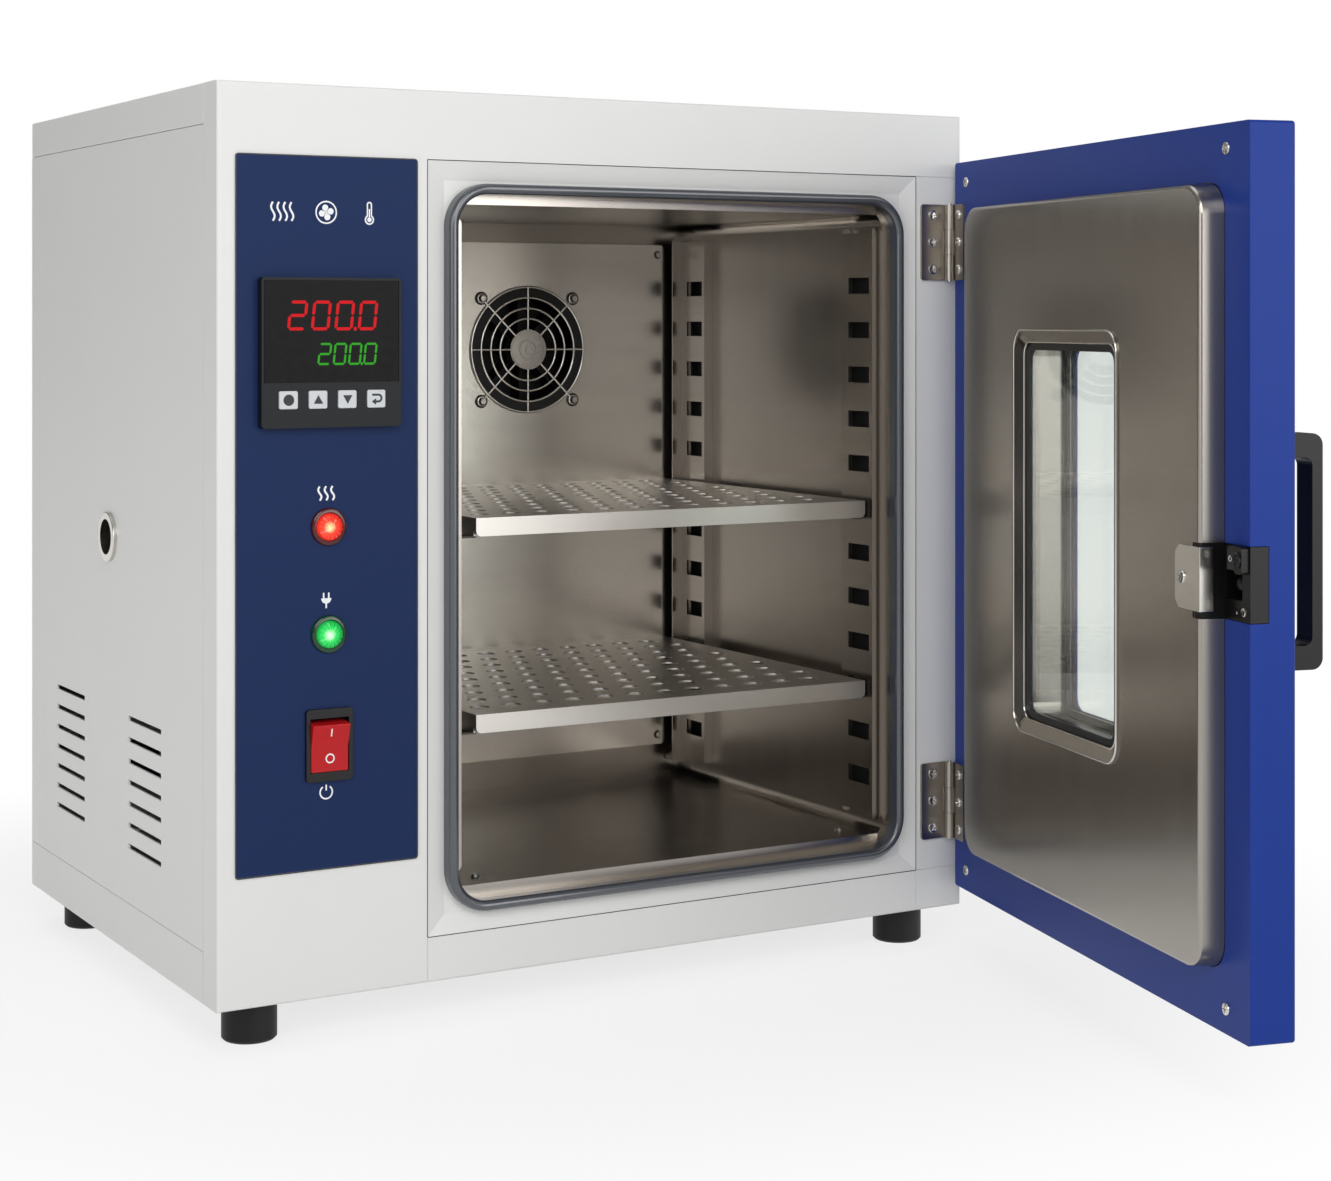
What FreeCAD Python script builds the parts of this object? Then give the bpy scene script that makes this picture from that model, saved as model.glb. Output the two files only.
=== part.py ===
import FreeCAD, Part

import os
import re

# Bench hot-air sterilizer, millimetres.
# The model's origin is the centre of the four feet's footprint on the bench: +X right, +Y back, +Z up.
# Cabinet pieces are laid out from the body's front lower left corner, door pieces from the hinge pin.

SIZES = {
    "cabinet shell": {
        "body_width": 580, "body_depth": 414, "body_height": 587, "shell_wall": 1.5, "seam": 0.4,
        "front_return": 25, "rear_return": 21, "top_skirt": 26, "base_skirt": 33,
        "shell_corner": 2, "groove_width": 0.7, "groove_depth": 0.6, "overrun": 2,
    },
    "vents": {
        "vent_length": 69, "vent_height": 3.6, "vent_pitch": 14.7, "vent_rows": 7, "vent_top": 163,
        "vent_front": 108, "vent_back": 278, "rear_vent_left": 70, "rear_vent_top": 500,
    },
    "feet": {
        "foot_height": 28, "foot_radius": 18, "foot_inset": 34, "foot_bevel": 1.5, "peg_hole": 8,
        "peg_hole_depth": 9, "foot_head_hole": 6, "foot_web": 8, "foot_bolt": 2.5, "foot_bolt_head": 5,
        "foot_bolt_head_height": 4, "foot_bolt_grip": 10, "bolt_clearance": 0.2,
    },
    "door surround and seal": {
        "mouth_left": 144.4, "mouth_right": 539.4, "mouth_bottom": 29.5, "mouth_top": 541.6,
        "surround_depth": 10.8, "surround_dish": 3, "fit_gap": 0.3,
        "seal_left": 157.9, "seal_right": 524.5, "seal_bottom": 43.4, "seal_top": 526.4,
        "seal_width": 7, "seal_proud": 7.7, "seal_corner": 29, "seal_crown": 3.4,
    },
    "chamber": {
        "chamber_left": 169, "chamber_right": 519, "chamber_bottom": 58, "chamber_top": 513,
        "chamber_back": 310, "chamber_wall": 1.2, "chamber_cove": 8, "throat_wall": 1.2,
        "flange_margin": 12, "plenum_inset": 20, "plenum_depth": 40, "lagging_gap": 0.3,
        "divider_left": 140, "divider_wall": 1.2, "lagging_back": 345, "lagging_front": 13.5,
        "lagging_margin": 2,
    },
    "baffle and fan": {
        "baffle_left": 186, "baffle_right": 501, "baffle_bottom": 82, "baffle_top": 497.5,
        "baffle_stand": 8, "baffle_wall": 1.2, "baffle_corner": 6, "baffle_screw_inset": 8,
        "fan_across": 371.5, "fan_up": 411.5, "fan_radius": 45, "fan_hole": 41.5, "guard_radius": 50.5,
        "guard_wire": 1.1, "guard_gap": 3, "guard_eye": 3.4, "guard_screw_spacing": 82.5,
        "impeller_front": 316, "impeller_back": 334, "hub_radius": 13, "plate_thick": 1.5, "blade_thick": 1.5,
        "blade_root": 12, "shaft_radius": 4, "shaft_clearance": 0.05, "motor_radius": 36,
        "motor_front": 353, "motor_length": 42, "motor_boss": 8,
        "heater_ring": 60, "heater_rod": 3.5, "heater_plane": 325, "heater_leg_spread": 12,
    },
    "thermometer": {
        "probe_radius": 2.5, "probe_length": 70, "probe_up": 470, "probe_back": 240, "probe_head": 6,
        "probe_head_length": 10,
    },
    "shelf ladder": {
        "rail_stand": 8, "rail_wall": 1.2, "rail_width": 40, "rail_front": 16, "rail_back": 256,
        "rear_rail_width": 38, "rear_flange": 8.5, "rail_end": 4, "rear_slot_length": 24,
        "rail_bottom": 67, "rail_top": 504, "slot_inset": 4, "slot_length": 27, "slot_height": 12,
        "slot_top": 467, "slot_pitch": 33, "slot_count": 12, "clip_wall": 1.2, "clip_width": 18,
        "clip_reach": 13, "clip_height": 13, "clip_tongue": 4, "clip_tongue_height": 4, "clip_gap": 0.3,
    },
    "shelves": {
        "shelf_left": 186, "shelf_right": 502, "shelf_front": 12, "shelf_back": 302, "shelf_lip": 12.5,
        "shelf_wall": 1.2, "lip_corner": 4, "upper_shelf_top": 303, "lower_shelf_top": 171,
        "hole_radius": 7, "hole_pitch": 24.4, "hole_row_pitch": 30, "hole_margin": 17,
        "hole_front_margin": 30, "hole_columns": 12, "hole_rows": 9, "shelf_travel": 200,
    },
    "chamber screws": {
        "small_head": 3.4, "small_head_height": 1.8, "small_shank": 1.5, "small_grip": 1.1,
        "head_crown_share": 0.6, "floor_screw_inset": 26, "floor_screw_front": 33, "back_screw_inset": 12.5,
    },
    "control panel": {
        "panel_left": 12, "panel_right": 137, "panel_bottom": 83.3, "panel_top": 541, "panel_wall": 1,
        "bay_margin": 10,
    },
    "controller": {
        "controller_size": 96, "controller_drop": 126, "bezel_proud": 7, "bezel_edge": 2.5,
        "case_inset": 2.5, "case_depth": 72, "case_gap": 0.4, "display_margin": 1.6, "display_height": 65.4,
        "display_rise": 13.6, "display_sink": 1.2, "display_wall": 1, "key_width": 12.6, "key_height": 11.6,
        "key_pitch": 20.1, "key_drop": 30, "key_count": 4, "key_proud": 0.9, "key_depth": 3,
        "key_gap": 0.3, "key_well": 4,
    },
    "pilot lamps": {
        "heater_lamp_drop": 64, "mains_lamp_drop": 69, "lamp_bezel": 12.4, "lamp_bezel_proud": 2.5,
        "lamp_lens": 10.2, "lamp_dome": 5.5, "lamp_barrel": 8, "lamp_depth": 32, "lamp_seat": 1.2,
    },
    "power switch": {
        "switch_drop": 71, "switch_width": 32, "switch_height": 46.5, "switch_proud": 2.5,
        "rocker_width": 25.5, "rocker_height": 31, "rocker_gap": 0.5, "rocker_sweep": 1.8, "rocker_pivot_depth": 7,
        "rocker_face": 15, "rocker_valley": 11, "rocker_back": 5, "rocker_tilt": 8, "rocker_stub": 1.5, "switch_body_width": 29.4,
        "switch_body_height": 42, "switch_depth": 28, "switch_floor": 15,
    },
    "access port": {
        "port_back": 219.6, "port_up": 283, "port_bore": 12.5, "port_tube": 14.5, "port_ring": 17.5,
        "port_proud": 3, "port_clearance": 0.3,
    },
    "rear fittings": {
        "inlet_width": 48, "inlet_height": 28, "inlet_across": 70, "inlet_up": 90, "inlet_depth": 22,
        "inlet_flange": 4, "inlet_flange_wall": 2.5, "inlet_socket_width": 26, "inlet_socket_height": 18,
        "inlet_socket_depth": 16, "relay_width": 60, "relay_height": 45, "relay_depth": 25,
        "relay_back": 250, "relay_up": 60,
    },
    "hinges": {
        "pin_across": 567, "pin_out": 4, "pin_radius": 1.5, "pin_clearance": 0.05, "barrel_radius": 4,
        "leaf_wall": 2, "leaf_width": 24, "door_leaf_width": 20, "leaf_height": 56, "knuckle_gap": 0.3,
        "upper_leaf_bottom": 465, "lower_leaf_bottom": 52, "leaf_corner": 2, "leaf_screw_pitch": 20,
        "frame_screw_inset": 14, "door_screw_inset": 12, "hinge_head": 3.8, "hinge_head_height": 1.5,
        "hinge_shank": 1.9, "hinge_grip": 7, "door_hinge_grip": 3.8, "shank_clearance": 0.1,
        "pin_overhang": 0.8,
    },
    "door shell": {
        "door_rest_angle": 76.4, "door_width": 429, "door_near_edge": 1, "door_bottom": 17,
        "door_top": 551.7, "door_thick": 30, "door_wall": 1.5, "door_corner": 2, "door_face_gap": 4,
        "door_screw_margin": 12, "door_screw_near": 22, "door_screw_far": 25, "door_screw_drop": 15,
    },
    "door liner": {
        "plug_near": 51.7, "plug_far": 399.9, "plug_bottom": 52.4, "plug_top": 517.4, "plug_proud": 16,
        "plug_draft": 1.5, "plug_corner": 18, "plug_edge": 2.5, "plug_wall": 1.2, "plug_flange": 8,
    },
    "door window": {
        "window_near": 141, "window_far": 294.5, "window_bottom": 155.7, "window_top": 429.5,
        "window_corner": 14, "window_rim": 1, "window_bevel": 9.3, "window_bevel_depth": 4.2,
        "sleeve_wall": 2.5, "window_collar": 3, "glass_wall": 4, "glass_gap": 0.3, "inner_glass": 5, "outer_glass": 25.6,
        "glass_seal": 4.5, "glass_seal_wall": 2.4, "window_lap": 4,
    },
    "door handle": {
        "handle_near": 387.5, "handle_far": 405, "handle_bottom": 229, "handle_top": 369,
        "handle_stand": 32.2, "handle_grip": 7.2, "handle_foot": 14.5, "handle_round": 7,
        "handle_inner_round": 5,
    },
    "door latch": {
        "latch_near": 391, "latch_bottom": 261, "latch_top": 305, "latch_depth": 22, "latch_side_depth": 12,
        "latch_recess": 0.2, "latch_gap": 0.4, "lug_near": 411, "lug_far": 427.5, "lug_bottom": 289,
        "lug_proud": 5, "well_near": 401.5, "well_far": 420, "well_bottom": 273, "well_top": 291,
        "well_depth": 17, "ball_near": 410.5, "ball_up": 282, "ball_radius": 5.5, "ball_depth": 11.5,
        "ball_stem": 3, "ball_bore": 3.08, "ball_travel": 3, "ball_stem_length": 6,
        "strike_near": 371, "strike_bottom": 265, "strike_top": 303, "strike_wall": 1.2,
        "strike_leg": 8, "strike_screw_near": 380, "strike_bevel": 5,
    },
}

document = FreeCAD.newDocument("hot_air_sterilizer")
sizes = document.addObject("Spreadsheet::Sheet", "Sizes")
NAMES = set()
row = 0
for section, values in SIZES.items():
    row += 1
    sizes.set(f"A{row}", section)
    for name, value in values.items():
        row += 1
        sizes.set(f"A{row}", name)
        sizes.set(f"B{row}", str(value))
        sizes.setAlias(f"B{row}", name)
        NAMES.add(name)
document.recompute()


def size(name):
    """The number that the sheet holds under a name."""
    return float(sizes.get(name))


def bind(thing, prop, formula):
    """Ties one property to the sheet by a formula of its names."""
    words = re.sub(r"[a-z][a-z0-9_]*", lambda m: f"Sizes.{m[0]}" if m[0] in NAMES else m[0], formula)
    thing.setExpression(prop, words)


def put(thing, corner):
    """Ties a solid's place to three formulas."""
    for axis, formula in zip("xyz", corner):
        bind(thing, f"Placement.Base.{axis}", formula)


# Solids from formulas


def block(x, y, z):
    """A block whose three spans are pairs of formulas, low and high."""
    solid = document.addObject("Part::Box", "Block")
    for prop, (low, high) in zip(("Length", "Width", "Height"), (x, y, z)):
        bind(solid, prop, f"({high}) - ({low})")
    put(solid, (x[0], y[0], z[0]))
    return solid


DIRECTIONS = {
    "+x": (1, 0, 0), "-x": (-1, 0, 0), "+y": (0, 1, 0), "-y": (0, -1, 0), "+z": (0, 0, 1), "-z": (0, 0, -1),
}


def aim(solid, direction):
    """Turns a solid that is built along Z so that it points in a direction."""
    turn = FreeCAD.Rotation(FreeCAD.Vector(0, 0, 1), FreeCAD.Vector(*DIRECTIONS[direction]))
    solid.Placement = FreeCAD.Placement(FreeCAD.Vector(), turn)


def rod(direction, start, radius, length):
    """A cylinder that runs from a point in a direction."""
    solid = document.addObject("Part::Cylinder", "Rod")
    aim(solid, direction)
    bind(solid, "Radius", radius)
    bind(solid, "Height", length)
    put(solid, start)
    return solid


def cone(direction, start, radius, end_radius, length):
    """A cone that runs from a point in a direction."""
    solid = document.addObject("Part::Cone", "Cone")
    aim(solid, direction)
    bind(solid, "Radius1", radius)
    bind(solid, "Radius2", end_radius)
    bind(solid, "Height", length)
    put(solid, start)
    return solid


def ring(centre, radius, wire):
    """A ring of round wire that faces the front."""
    solid = document.addObject("Part::Torus", "Ring")
    aim(solid, "-y")
    bind(solid, "Radius1", radius)
    bind(solid, "Radius2", wire)
    put(solid, centre)
    return solid


def ball(centre, radius):
    """A sphere."""
    solid = document.addObject("Part::Sphere", "Ball")
    bind(solid, "Radius", radius)
    put(solid, centre)
    return solid


def taper(x, y, z, inset):
    """A block whose far Y face is smaller by an inset on each of its four sides."""
    solid = document.addObject("Part::Wedge", "Taper")
    for prop, formula in (
        ("Xmin", x[0]), ("Xmax", x[1]), ("Ymin", y[0]), ("Ymax", y[1]), ("Zmin", z[0]), ("Zmax", z[1]),
        ("X2min", f"{x[0]} + {inset}"), ("X2max", f"{x[1]} - ({inset})"),
        ("Z2min", f"{z[0]} + {inset}"), ("Z2max", f"{z[1]} - ({inset})"),
    ):
        bind(solid, prop, formula)
    return solid


def cut(base, *tools):
    """A solid with others taken out of it."""
    result = document.addObject("Part::Cut", "Cut")
    result.Base = base
    result.Tool = tools[0] if len(tools) == 1 else group(*tools)
    return result


def group(*solids):
    """Separate solids held as one shape."""
    result = document.addObject("Part::Compound", "Group")
    result.Links = list(solids)
    return result


def fuse(*solids):
    """Solids joined to one."""
    result = document.addObject("Part::MultiFuse", "Fuse")
    result.Shapes = list(solids)
    result.Refine = True
    return result


def common(one, other):
    """What two solids share."""
    result = document.addObject("Part::Common", "Common")
    result.Base = one
    result.Tool = other
    return result


def turned(solid, axis, formula):
    """A copy of a solid's place turned about an axis through the origin."""
    result = group(solid)
    turn = FreeCAD.Rotation(FreeCAD.Vector(*DIRECTIONS[axis]), 1)
    result.Placement = FreeCAD.Placement(FreeCAD.Vector(), turn)
    bind(result, "Placement.Rotation.Angle", formula)
    return result


def moved(solid, place):
    """A solid shifted by three formulas."""
    result = group(solid)
    put(result, place)
    return result


def rounded(solid, radius_name, wanted):
    """A solid with a fillet of a named radius on the edges that a test picks."""
    document.recompute()
    radius = size(radius_name)
    result = document.addObject("Part::Fillet", "Fillet")
    result.Base = solid
    result.Edges = [(i + 1, radius, radius) for i, e in enumerate(solid.Shape.Edges) if wanted(e)]
    return result


def bevelled(solid, size_name, wanted):
    """A solid with a flat bevel of a named size on the edges that a test picks."""
    document.recompute()
    bevel = size(size_name)
    result = document.addObject("Part::Chamfer", "Chamfer")
    result.Base = solid
    result.Edges = [(i + 1, bevel, bevel) for i, e in enumerate(solid.Shape.Edges) if wanted(e)]
    return result


def along(axis):
    """A test for a block's edges that run along an axis, or slant along it on a drafted side."""
    span = {"+x": "XLength", "+y": "YLength", "+z": "ZLength"}[axis]
    near = size("fit_gap")
    return lambda edge: getattr(edge.BoundBox, span) > near


def at_level(axis, formula_value):
    """A test for edges that lie wholly at one coordinate."""
    low = {"x": "XMin", "y": "YMin", "z": "ZMin"}[axis]
    high = {"x": "XMax", "y": "YMax", "z": "ZMax"}[axis]
    near = size("fit_gap")

    def test(edge):
        span = edge.BoundBox
        return abs(getattr(span, low) - formula_value) < near and abs(getattr(span, high) - formula_value) < near

    return test


def screw(direction, place, head, head_height, shank, grip):
    """A pan-head screw: a low crowned head on a face and a shank below it."""
    opposite = ("-" if direction[0] == "+" else "+") + direction[1]
    crown = cone(direction, place, head, f"{head} * head_crown_share", head_height)
    return fuse(crown, rod(opposite, place, shank, grip))


# Sub-parts and the frames that they are laid out in

NODES = []


def node(label, frame, *solids):
    """A named sub-part, placed in its frame."""
    part = document.addObject("Part::Compound", label)
    part.Label = label
    part.Links = list(solids)
    frame(part)
    NODES.append(part)


def in_cabinet(part):
    """Laid out from the body's front lower left corner."""
    put(part, ("-body_width / 2", "-body_depth / 2", "foot_height"))


def on_door(part):
    """Laid out from the hinge pin with the door closed, then swung to the angle at rest."""
    part.Placement = FreeCAD.Placement(FreeCAD.Vector(), FreeCAD.Rotation(FreeCAD.Vector(0, 0, 1), 1))
    put(part, ("pin_across - body_width / 2", "-pin_out - body_depth / 2", "foot_height"))
    bind(part, "Placement.Rotation.Angle", "door_rest_angle")


def door_block(u, v, z):
    """A block on the door: u runs from the pin to the free edge, v from the pin's plane outwards."""
    return block((f"-({u[1]})", f"-({u[0]})"), (f"-({v[1]})", f"-({v[0]})"), z)


def door_point(u, v, z):
    """A point on the door in the closed layout."""
    return (f"-({u})", f"-({v})", z)


# Cabinet shell

LEFT, RIGHT = "0", "body_width"
FEET = [(x, y) for x in ("foot_inset", "body_width - foot_inset") for y in ("foot_inset", "body_depth - foot_inset")]
HINGES = {"upper": "upper_leaf_bottom", "lower": "lower_leaf_bottom"}
LAMPS = {"heater": "heater_lamp_up", "mains": "mains_lamp_up"}


def hinge_heights(bottom):
    """The heights of a hinge's three screws."""
    return [f"{bottom} + leaf_height / 2 + {step} * leaf_screw_pitch" for step in (-1, 0, 1)]


def folded_tray(x, y, z, open_x, open_y, open_z):
    """A sheet tray: a block less the inner block, which runs out where the tray is open."""
    return cut(block(x, y, z), block(open_x, open_y, open_z))


def front_fascia():
    """The front plate with its folded edges, the openings for the mouth and the controls, and its seams."""
    tray = folded_tray(
        (LEFT, RIGHT), ("0", "front_return"), ("0", "body_height"),
        ("shell_wall", "body_width - shell_wall"), ("shell_wall", "front_return + overrun"),
        ("shell_wall", "body_height - shell_wall"),
    )
    tray = rounded(tray, "shell_corner", at_front_outline)
    mouth = block(
        ("mouth_left", "mouth_right"), ("-overrun", "front_return + overrun"), ("mouth_bottom", "mouth_top")
    )
    bay = block(
        ("panel_left + bay_margin", "panel_right - bay_margin"), ("-overrun", "front_return + overrun"),
        ("panel_bottom + bay_margin", "panel_top - bay_margin"),
    )
    grooves = [
        block(("mouth_left", "mouth_left + groove_width"), ("-overrun", "groove_depth"), ("-overrun", "mouth_bottom")),
        block(("mouth_right - groove_width", "mouth_right"), ("-overrun", "groove_depth"), ("-overrun", "mouth_bottom")),
        block(("mouth_right", "body_width + overrun"), ("-overrun", "groove_depth"), ("mouth_top - groove_width", "mouth_top")),
        block(
            ("mouth_right", "body_width + overrun"), ("-overrun", "groove_depth"),
            ("mouth_bottom", "mouth_bottom + groove_width"),
        ),
    ]
    holes = [
        rod("+y", ("pin_across - frame_screw_inset", "-overrun", z), "hinge_shank + shank_clearance", "front_return")
        for bottom in HINGES.values() for z in hinge_heights(bottom)
    ]
    node("front_fascia", in_cabinet, cut(tray, mouth, bay, *grooves, *holes))


def at_front_outline(edge):
    """The four long edges of the front face's outline."""
    box = edge.BoundBox
    span = max(box.XLength, box.ZLength)
    return box.YMax < size("fit_gap") and span > size("body_width") - size("overrun")


def vent_slots(front, direction_block):
    """A column of vent slots, from the top one down."""
    rows = int(size("vent_rows"))
    return [direction_block(front, f"vent_top - vent_height - {k} * vent_pitch") for k in range(rows)]


def side_panels():
    """The two flat side panels; the left one has vents and the access port's hole."""
    y = ("front_return + seam", "body_depth - rear_return - seam")
    z = ("base_skirt + seam", "body_height - top_skirt - seam")
    slots = []
    for front in ("vent_front", "vent_back"):
        slots += vent_slots(front, lambda low, up: rounded(
            block(("-overrun", "shell_wall + overrun"), (low, f"{low} + vent_length"), (up, f"{up} + vent_height")),
            "groove_width", along("+x")))
    port = rod("+x", ("-overrun", "port_back", "port_up"), "port_tube + port_clearance", "shell_wall + 2 * overrun")
    node("left_side_panel", in_cabinet, cut(block((LEFT, "shell_wall"), y, z), port, *slots))
    node("right_side_panel", in_cabinet, group(block(("body_width - shell_wall", RIGHT), y, z)))


def rear_panel():
    """The back plate with its folded sides, a block of vents and the mains inlet's hole."""
    tray = folded_tray(
        (LEFT, RIGHT), ("body_depth - rear_return", "body_depth"),
        ("base_skirt + seam", "body_height - top_skirt - seam"),
        ("shell_wall", "body_width - shell_wall"), ("body_depth - rear_return - overrun", "body_depth - shell_wall"),
        ("base_skirt - overrun", "body_height"),
    )
    slots = []
    for column in range(2):
        left = f"fan_across - vent_length + {column} * (vent_length + vent_pitch) - vent_pitch / 2"
        slots += [
            block((left, f"{left} + vent_length"), ("body_depth - rear_return", "body_depth + overrun"),
                  (f"rear_vent_top - {k} * vent_pitch", f"rear_vent_top + vent_height - {k} * vent_pitch"))
            for k in range(int(size("vent_rows")))
        ]
    inlet = block(
        ("inlet_across - inlet_width / 2 - seam", "inlet_across + inlet_width / 2 + seam"),
        ("body_depth - rear_return", "body_depth + overrun"),
        ("inlet_up - inlet_height / 2 - seam", "inlet_up + inlet_height / 2 + seam"),
    )
    node("rear_panel", in_cabinet, cut(tray, inlet, *slots))


def top_and_base():
    """The top cover and the base pan: two trays that meet the panels at their skirts."""
    y = ("front_return + seam", "body_depth")
    open_y = ("front_return - overrun", "body_depth - shell_wall")
    open_x = ("shell_wall", "body_width - shell_wall")
    node("top_cover", in_cabinet, folded_tray(
        (LEFT, RIGHT), y, ("body_height - top_skirt", "body_height"),
        open_x, open_y, ("body_height - top_skirt - overrun", "body_height - shell_wall")))
    pan = folded_tray(
        (LEFT, RIGHT), y, ("0", "base_skirt"), open_x, open_y, ("shell_wall", "base_skirt + overrun"))
    holes = [rod("+z", (x, y, "-overrun"), "foot_bolt + bolt_clearance", "shell_wall + 2 * overrun") for x, y in FEET]
    node("base_pan", in_cabinet, cut(pan, *holes))


def feet():
    """Four rubber feet with an open recess below, and the bolts that hold them."""
    blocks, bolts = [], []
    for x, y in FEET:
        body = rod("-z", (x, y, "0"), "foot_radius", "foot_height - foot_bevel")
        toe = cone("-z", (x, y, "foot_bevel - foot_height"), "foot_radius", "foot_radius - foot_bevel", "foot_bevel")
        recess = rod("+z", (x, y, "-foot_height - overrun"), "peg_hole", "peg_hole_depth + overrun")
        head_hole = rod("-z", (x, y, "-foot_web"), "foot_head_hole", "foot_height - foot_web")
        bolt_hole = rod("-z", (x, y, "overrun"), "foot_bolt + bolt_clearance", "foot_height")
        blocks.append(cut(fuse(body, toe), recess, head_hole, bolt_hole))
        head = rod("-z", (x, y, "-foot_web"), "foot_bolt_head", "foot_bolt_head_height")
        bolts.append(fuse(head, rod("+z", (x, y, "-foot_web"), "foot_bolt", "foot_web + foot_bolt_grip")))
    node("feet", in_cabinet, *blocks)
    node("foot_bolts", in_cabinet, *bolts)


# Door surround, seal and chamber


def in_lengths(frame, x, z, y, inset):
    """A frame about an opening as its straight lengths and its corner pieces."""
    across, up = [
        ((f"{low} - overrun", f"{low} + {inset}"), (f"{low} + {inset}", f"{high} - ({inset})"),
         (f"{high} - ({inset})", f"{high} + overrun"))
        for low, high in (x, z)
    ]
    return [
        common(frame, block(a, (f"{y[0]} - overrun", f"{y[1]} + overrun"), b))
        for a in across for b in up if (a, b) != (across[1], up[1])
    ]


def ring_block(outer_x, outer_z, y, corner, inner_x, inner_z, inner_corner):
    """A flat frame between two rounded outlines."""
    outer = rounded(block(outer_x, y, outer_z), corner, along("+y"))
    inner = rounded(
        block(inner_x, (f"{y[0]} - overrun", f"{y[1]} + overrun"), inner_z), inner_corner, along("+y"))
    return cut(outer, inner)


THROAT_X = ("seal_left + seal_width", "seal_right - seal_width")
THROAT_Z = ("seal_bottom + seal_width", "seal_top - seal_width")


def wider(span, by):
    """A span grown by a formula at both ends."""
    return (f"{span[0]} - ({by})", f"{span[1]} + ({by})")


def door_surround():
    """The frame about the mouth: its face dishes in to the seal on mitred corners."""
    body = block(
        ("mouth_left + fit_gap", "mouth_right - fit_gap"), ("0", "surround_depth"),
        ("mouth_bottom + fit_gap", "mouth_top - fit_gap"))
    dish = taper(
        ("mouth_left", "mouth_right"), ("0", "surround_dish"), ("mouth_bottom", "mouth_top"),
        "seal_left - mouth_left")
    opening = rounded(
        block(wider(THROAT_X, "throat_wall + fit_gap"), ("-overrun", "surround_depth + overrun"),
              wider(THROAT_Z, "throat_wall + fit_gap")), "throat_corner", along("+y"))
    node("door_surround", in_cabinet, *in_lengths(
        cut(body, dish, opening), ("mouth_left", "mouth_right"), ("mouth_bottom", "mouth_top"), ("0", "surround_depth"),
        "seal_left - mouth_left + seal_corner"))


def door_gasket():
    """The rubber seal: crowned lengths joined by moulded corners, proud of the mouth."""
    bead = ring_block(
        ("seal_left", "seal_right"), ("seal_bottom", "seal_top"), ("-seal_proud", "surround_dish"),
        "seal_corner", THROAT_X, THROAT_Z, "throat_corner")
    front = at_level("y", -size("seal_proud"))
    node("door_gasket", in_cabinet, *in_lengths(
        rounded(bead, "seal_crown", front), ("seal_left", "seal_right"), ("seal_bottom", "seal_top"),
        ("-seal_proud", "surround_dish"), "seal_corner"))


SHELL_FRONT = "surround_depth + chamber_wall"
SHELL_BACK = "chamber_back + chamber_wall"
PLENUM_X = ("baffle_left + plenum_inset", "baffle_right - plenum_inset")
PLENUM_Z = ("baffle_bottom + plenum_inset", "baffle_top - plenum_inset")


def chamber_front_frame():
    """The sheet frame at the mouth: a flange and the throat that the seal sits about."""
    opening_x, opening_z = ("chamber_left", THROAT_X[1]), ("chamber_bottom", "chamber_top")
    y = ("surround_depth", SHELL_FRONT)
    outer_x, outer_z = wider(("chamber_left", "chamber_right"), "flange_margin"), wider(opening_z, "flange_margin")
    sides = [block((outer_x[0], opening_x[0]), y, outer_z), block((opening_x[1], outer_x[1]), y, outer_z)]
    ends = [block(opening_x, y, (outer_z[0], opening_z[0])), block(opening_x, y, (opening_z[1], outer_z[1]))]
    y = ("surround_dish", "surround_depth")
    throat = ring_block(
        wider(THROAT_X, "throat_wall"), wider(THROAT_Z, "throat_wall"), y, "throat_corner", THROAT_X, THROAT_Z, "throat_corner")
    lengths = in_lengths(
        throat, wider(THROAT_X, "throat_wall"), wider(THROAT_Z, "throat_wall"), y, "throat_wall + throat_corner")
    node("chamber_front_frame", in_cabinet, *sides, *ends, *lengths)


def inner_chamber():
    """The stainless box: four walls, coved strips where they meet, and the back with the fan space's opening."""
    y = (SHELL_FRONT, "chamber_back")
    box_x, box_z = ("chamber_left", "chamber_right"), ("chamber_bottom", "chamber_top")
    wall_x, wall_z = wider(box_x, "-chamber_cove"), wider(box_z, "-chamber_cove")
    port = rod(
        "-x", ("chamber_left + overrun", "port_back", "port_up"), "port_tube + port_clearance", "flange_margin")
    probe = rod(
        "-x", ("chamber_left + overrun", "probe_back", "probe_up"), "probe_radius + shaft_clearance", "flange_margin")
    walls = [
        cut(block(("chamber_left - chamber_wall", "chamber_left"), y, wall_z), port, probe),
        block(("chamber_right", "chamber_right + chamber_wall"), y, wall_z),
        block(wall_x, y, ("chamber_bottom - chamber_wall", "chamber_bottom")),
        block(wall_x, y, ("chamber_top", "chamber_top + chamber_wall")),
    ]
    space = rounded(
        block(box_x, (f"{SHELL_FRONT} - overrun", "chamber_back + overrun"), box_z), "chamber_cove", along("+y"))
    coves = [
        cut(block(a, y, b), space)
        for a in (("chamber_left - chamber_wall", wall_x[0]), (wall_x[1], "chamber_right + chamber_wall"))
        for b in (("chamber_bottom - chamber_wall", wall_z[0]), (wall_z[1], "chamber_top + chamber_wall"))
    ]
    back = block(wider(box_x, "chamber_wall"), ("chamber_back", SHELL_BACK), wider(box_z, "chamber_wall"))
    opening = block(PLENUM_X, ("chamber_back - overrun", f"{SHELL_BACK} + overrun"), PLENUM_Z)
    node("inner_chamber", in_cabinet, *walls, *coves, cut(back, opening))


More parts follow.
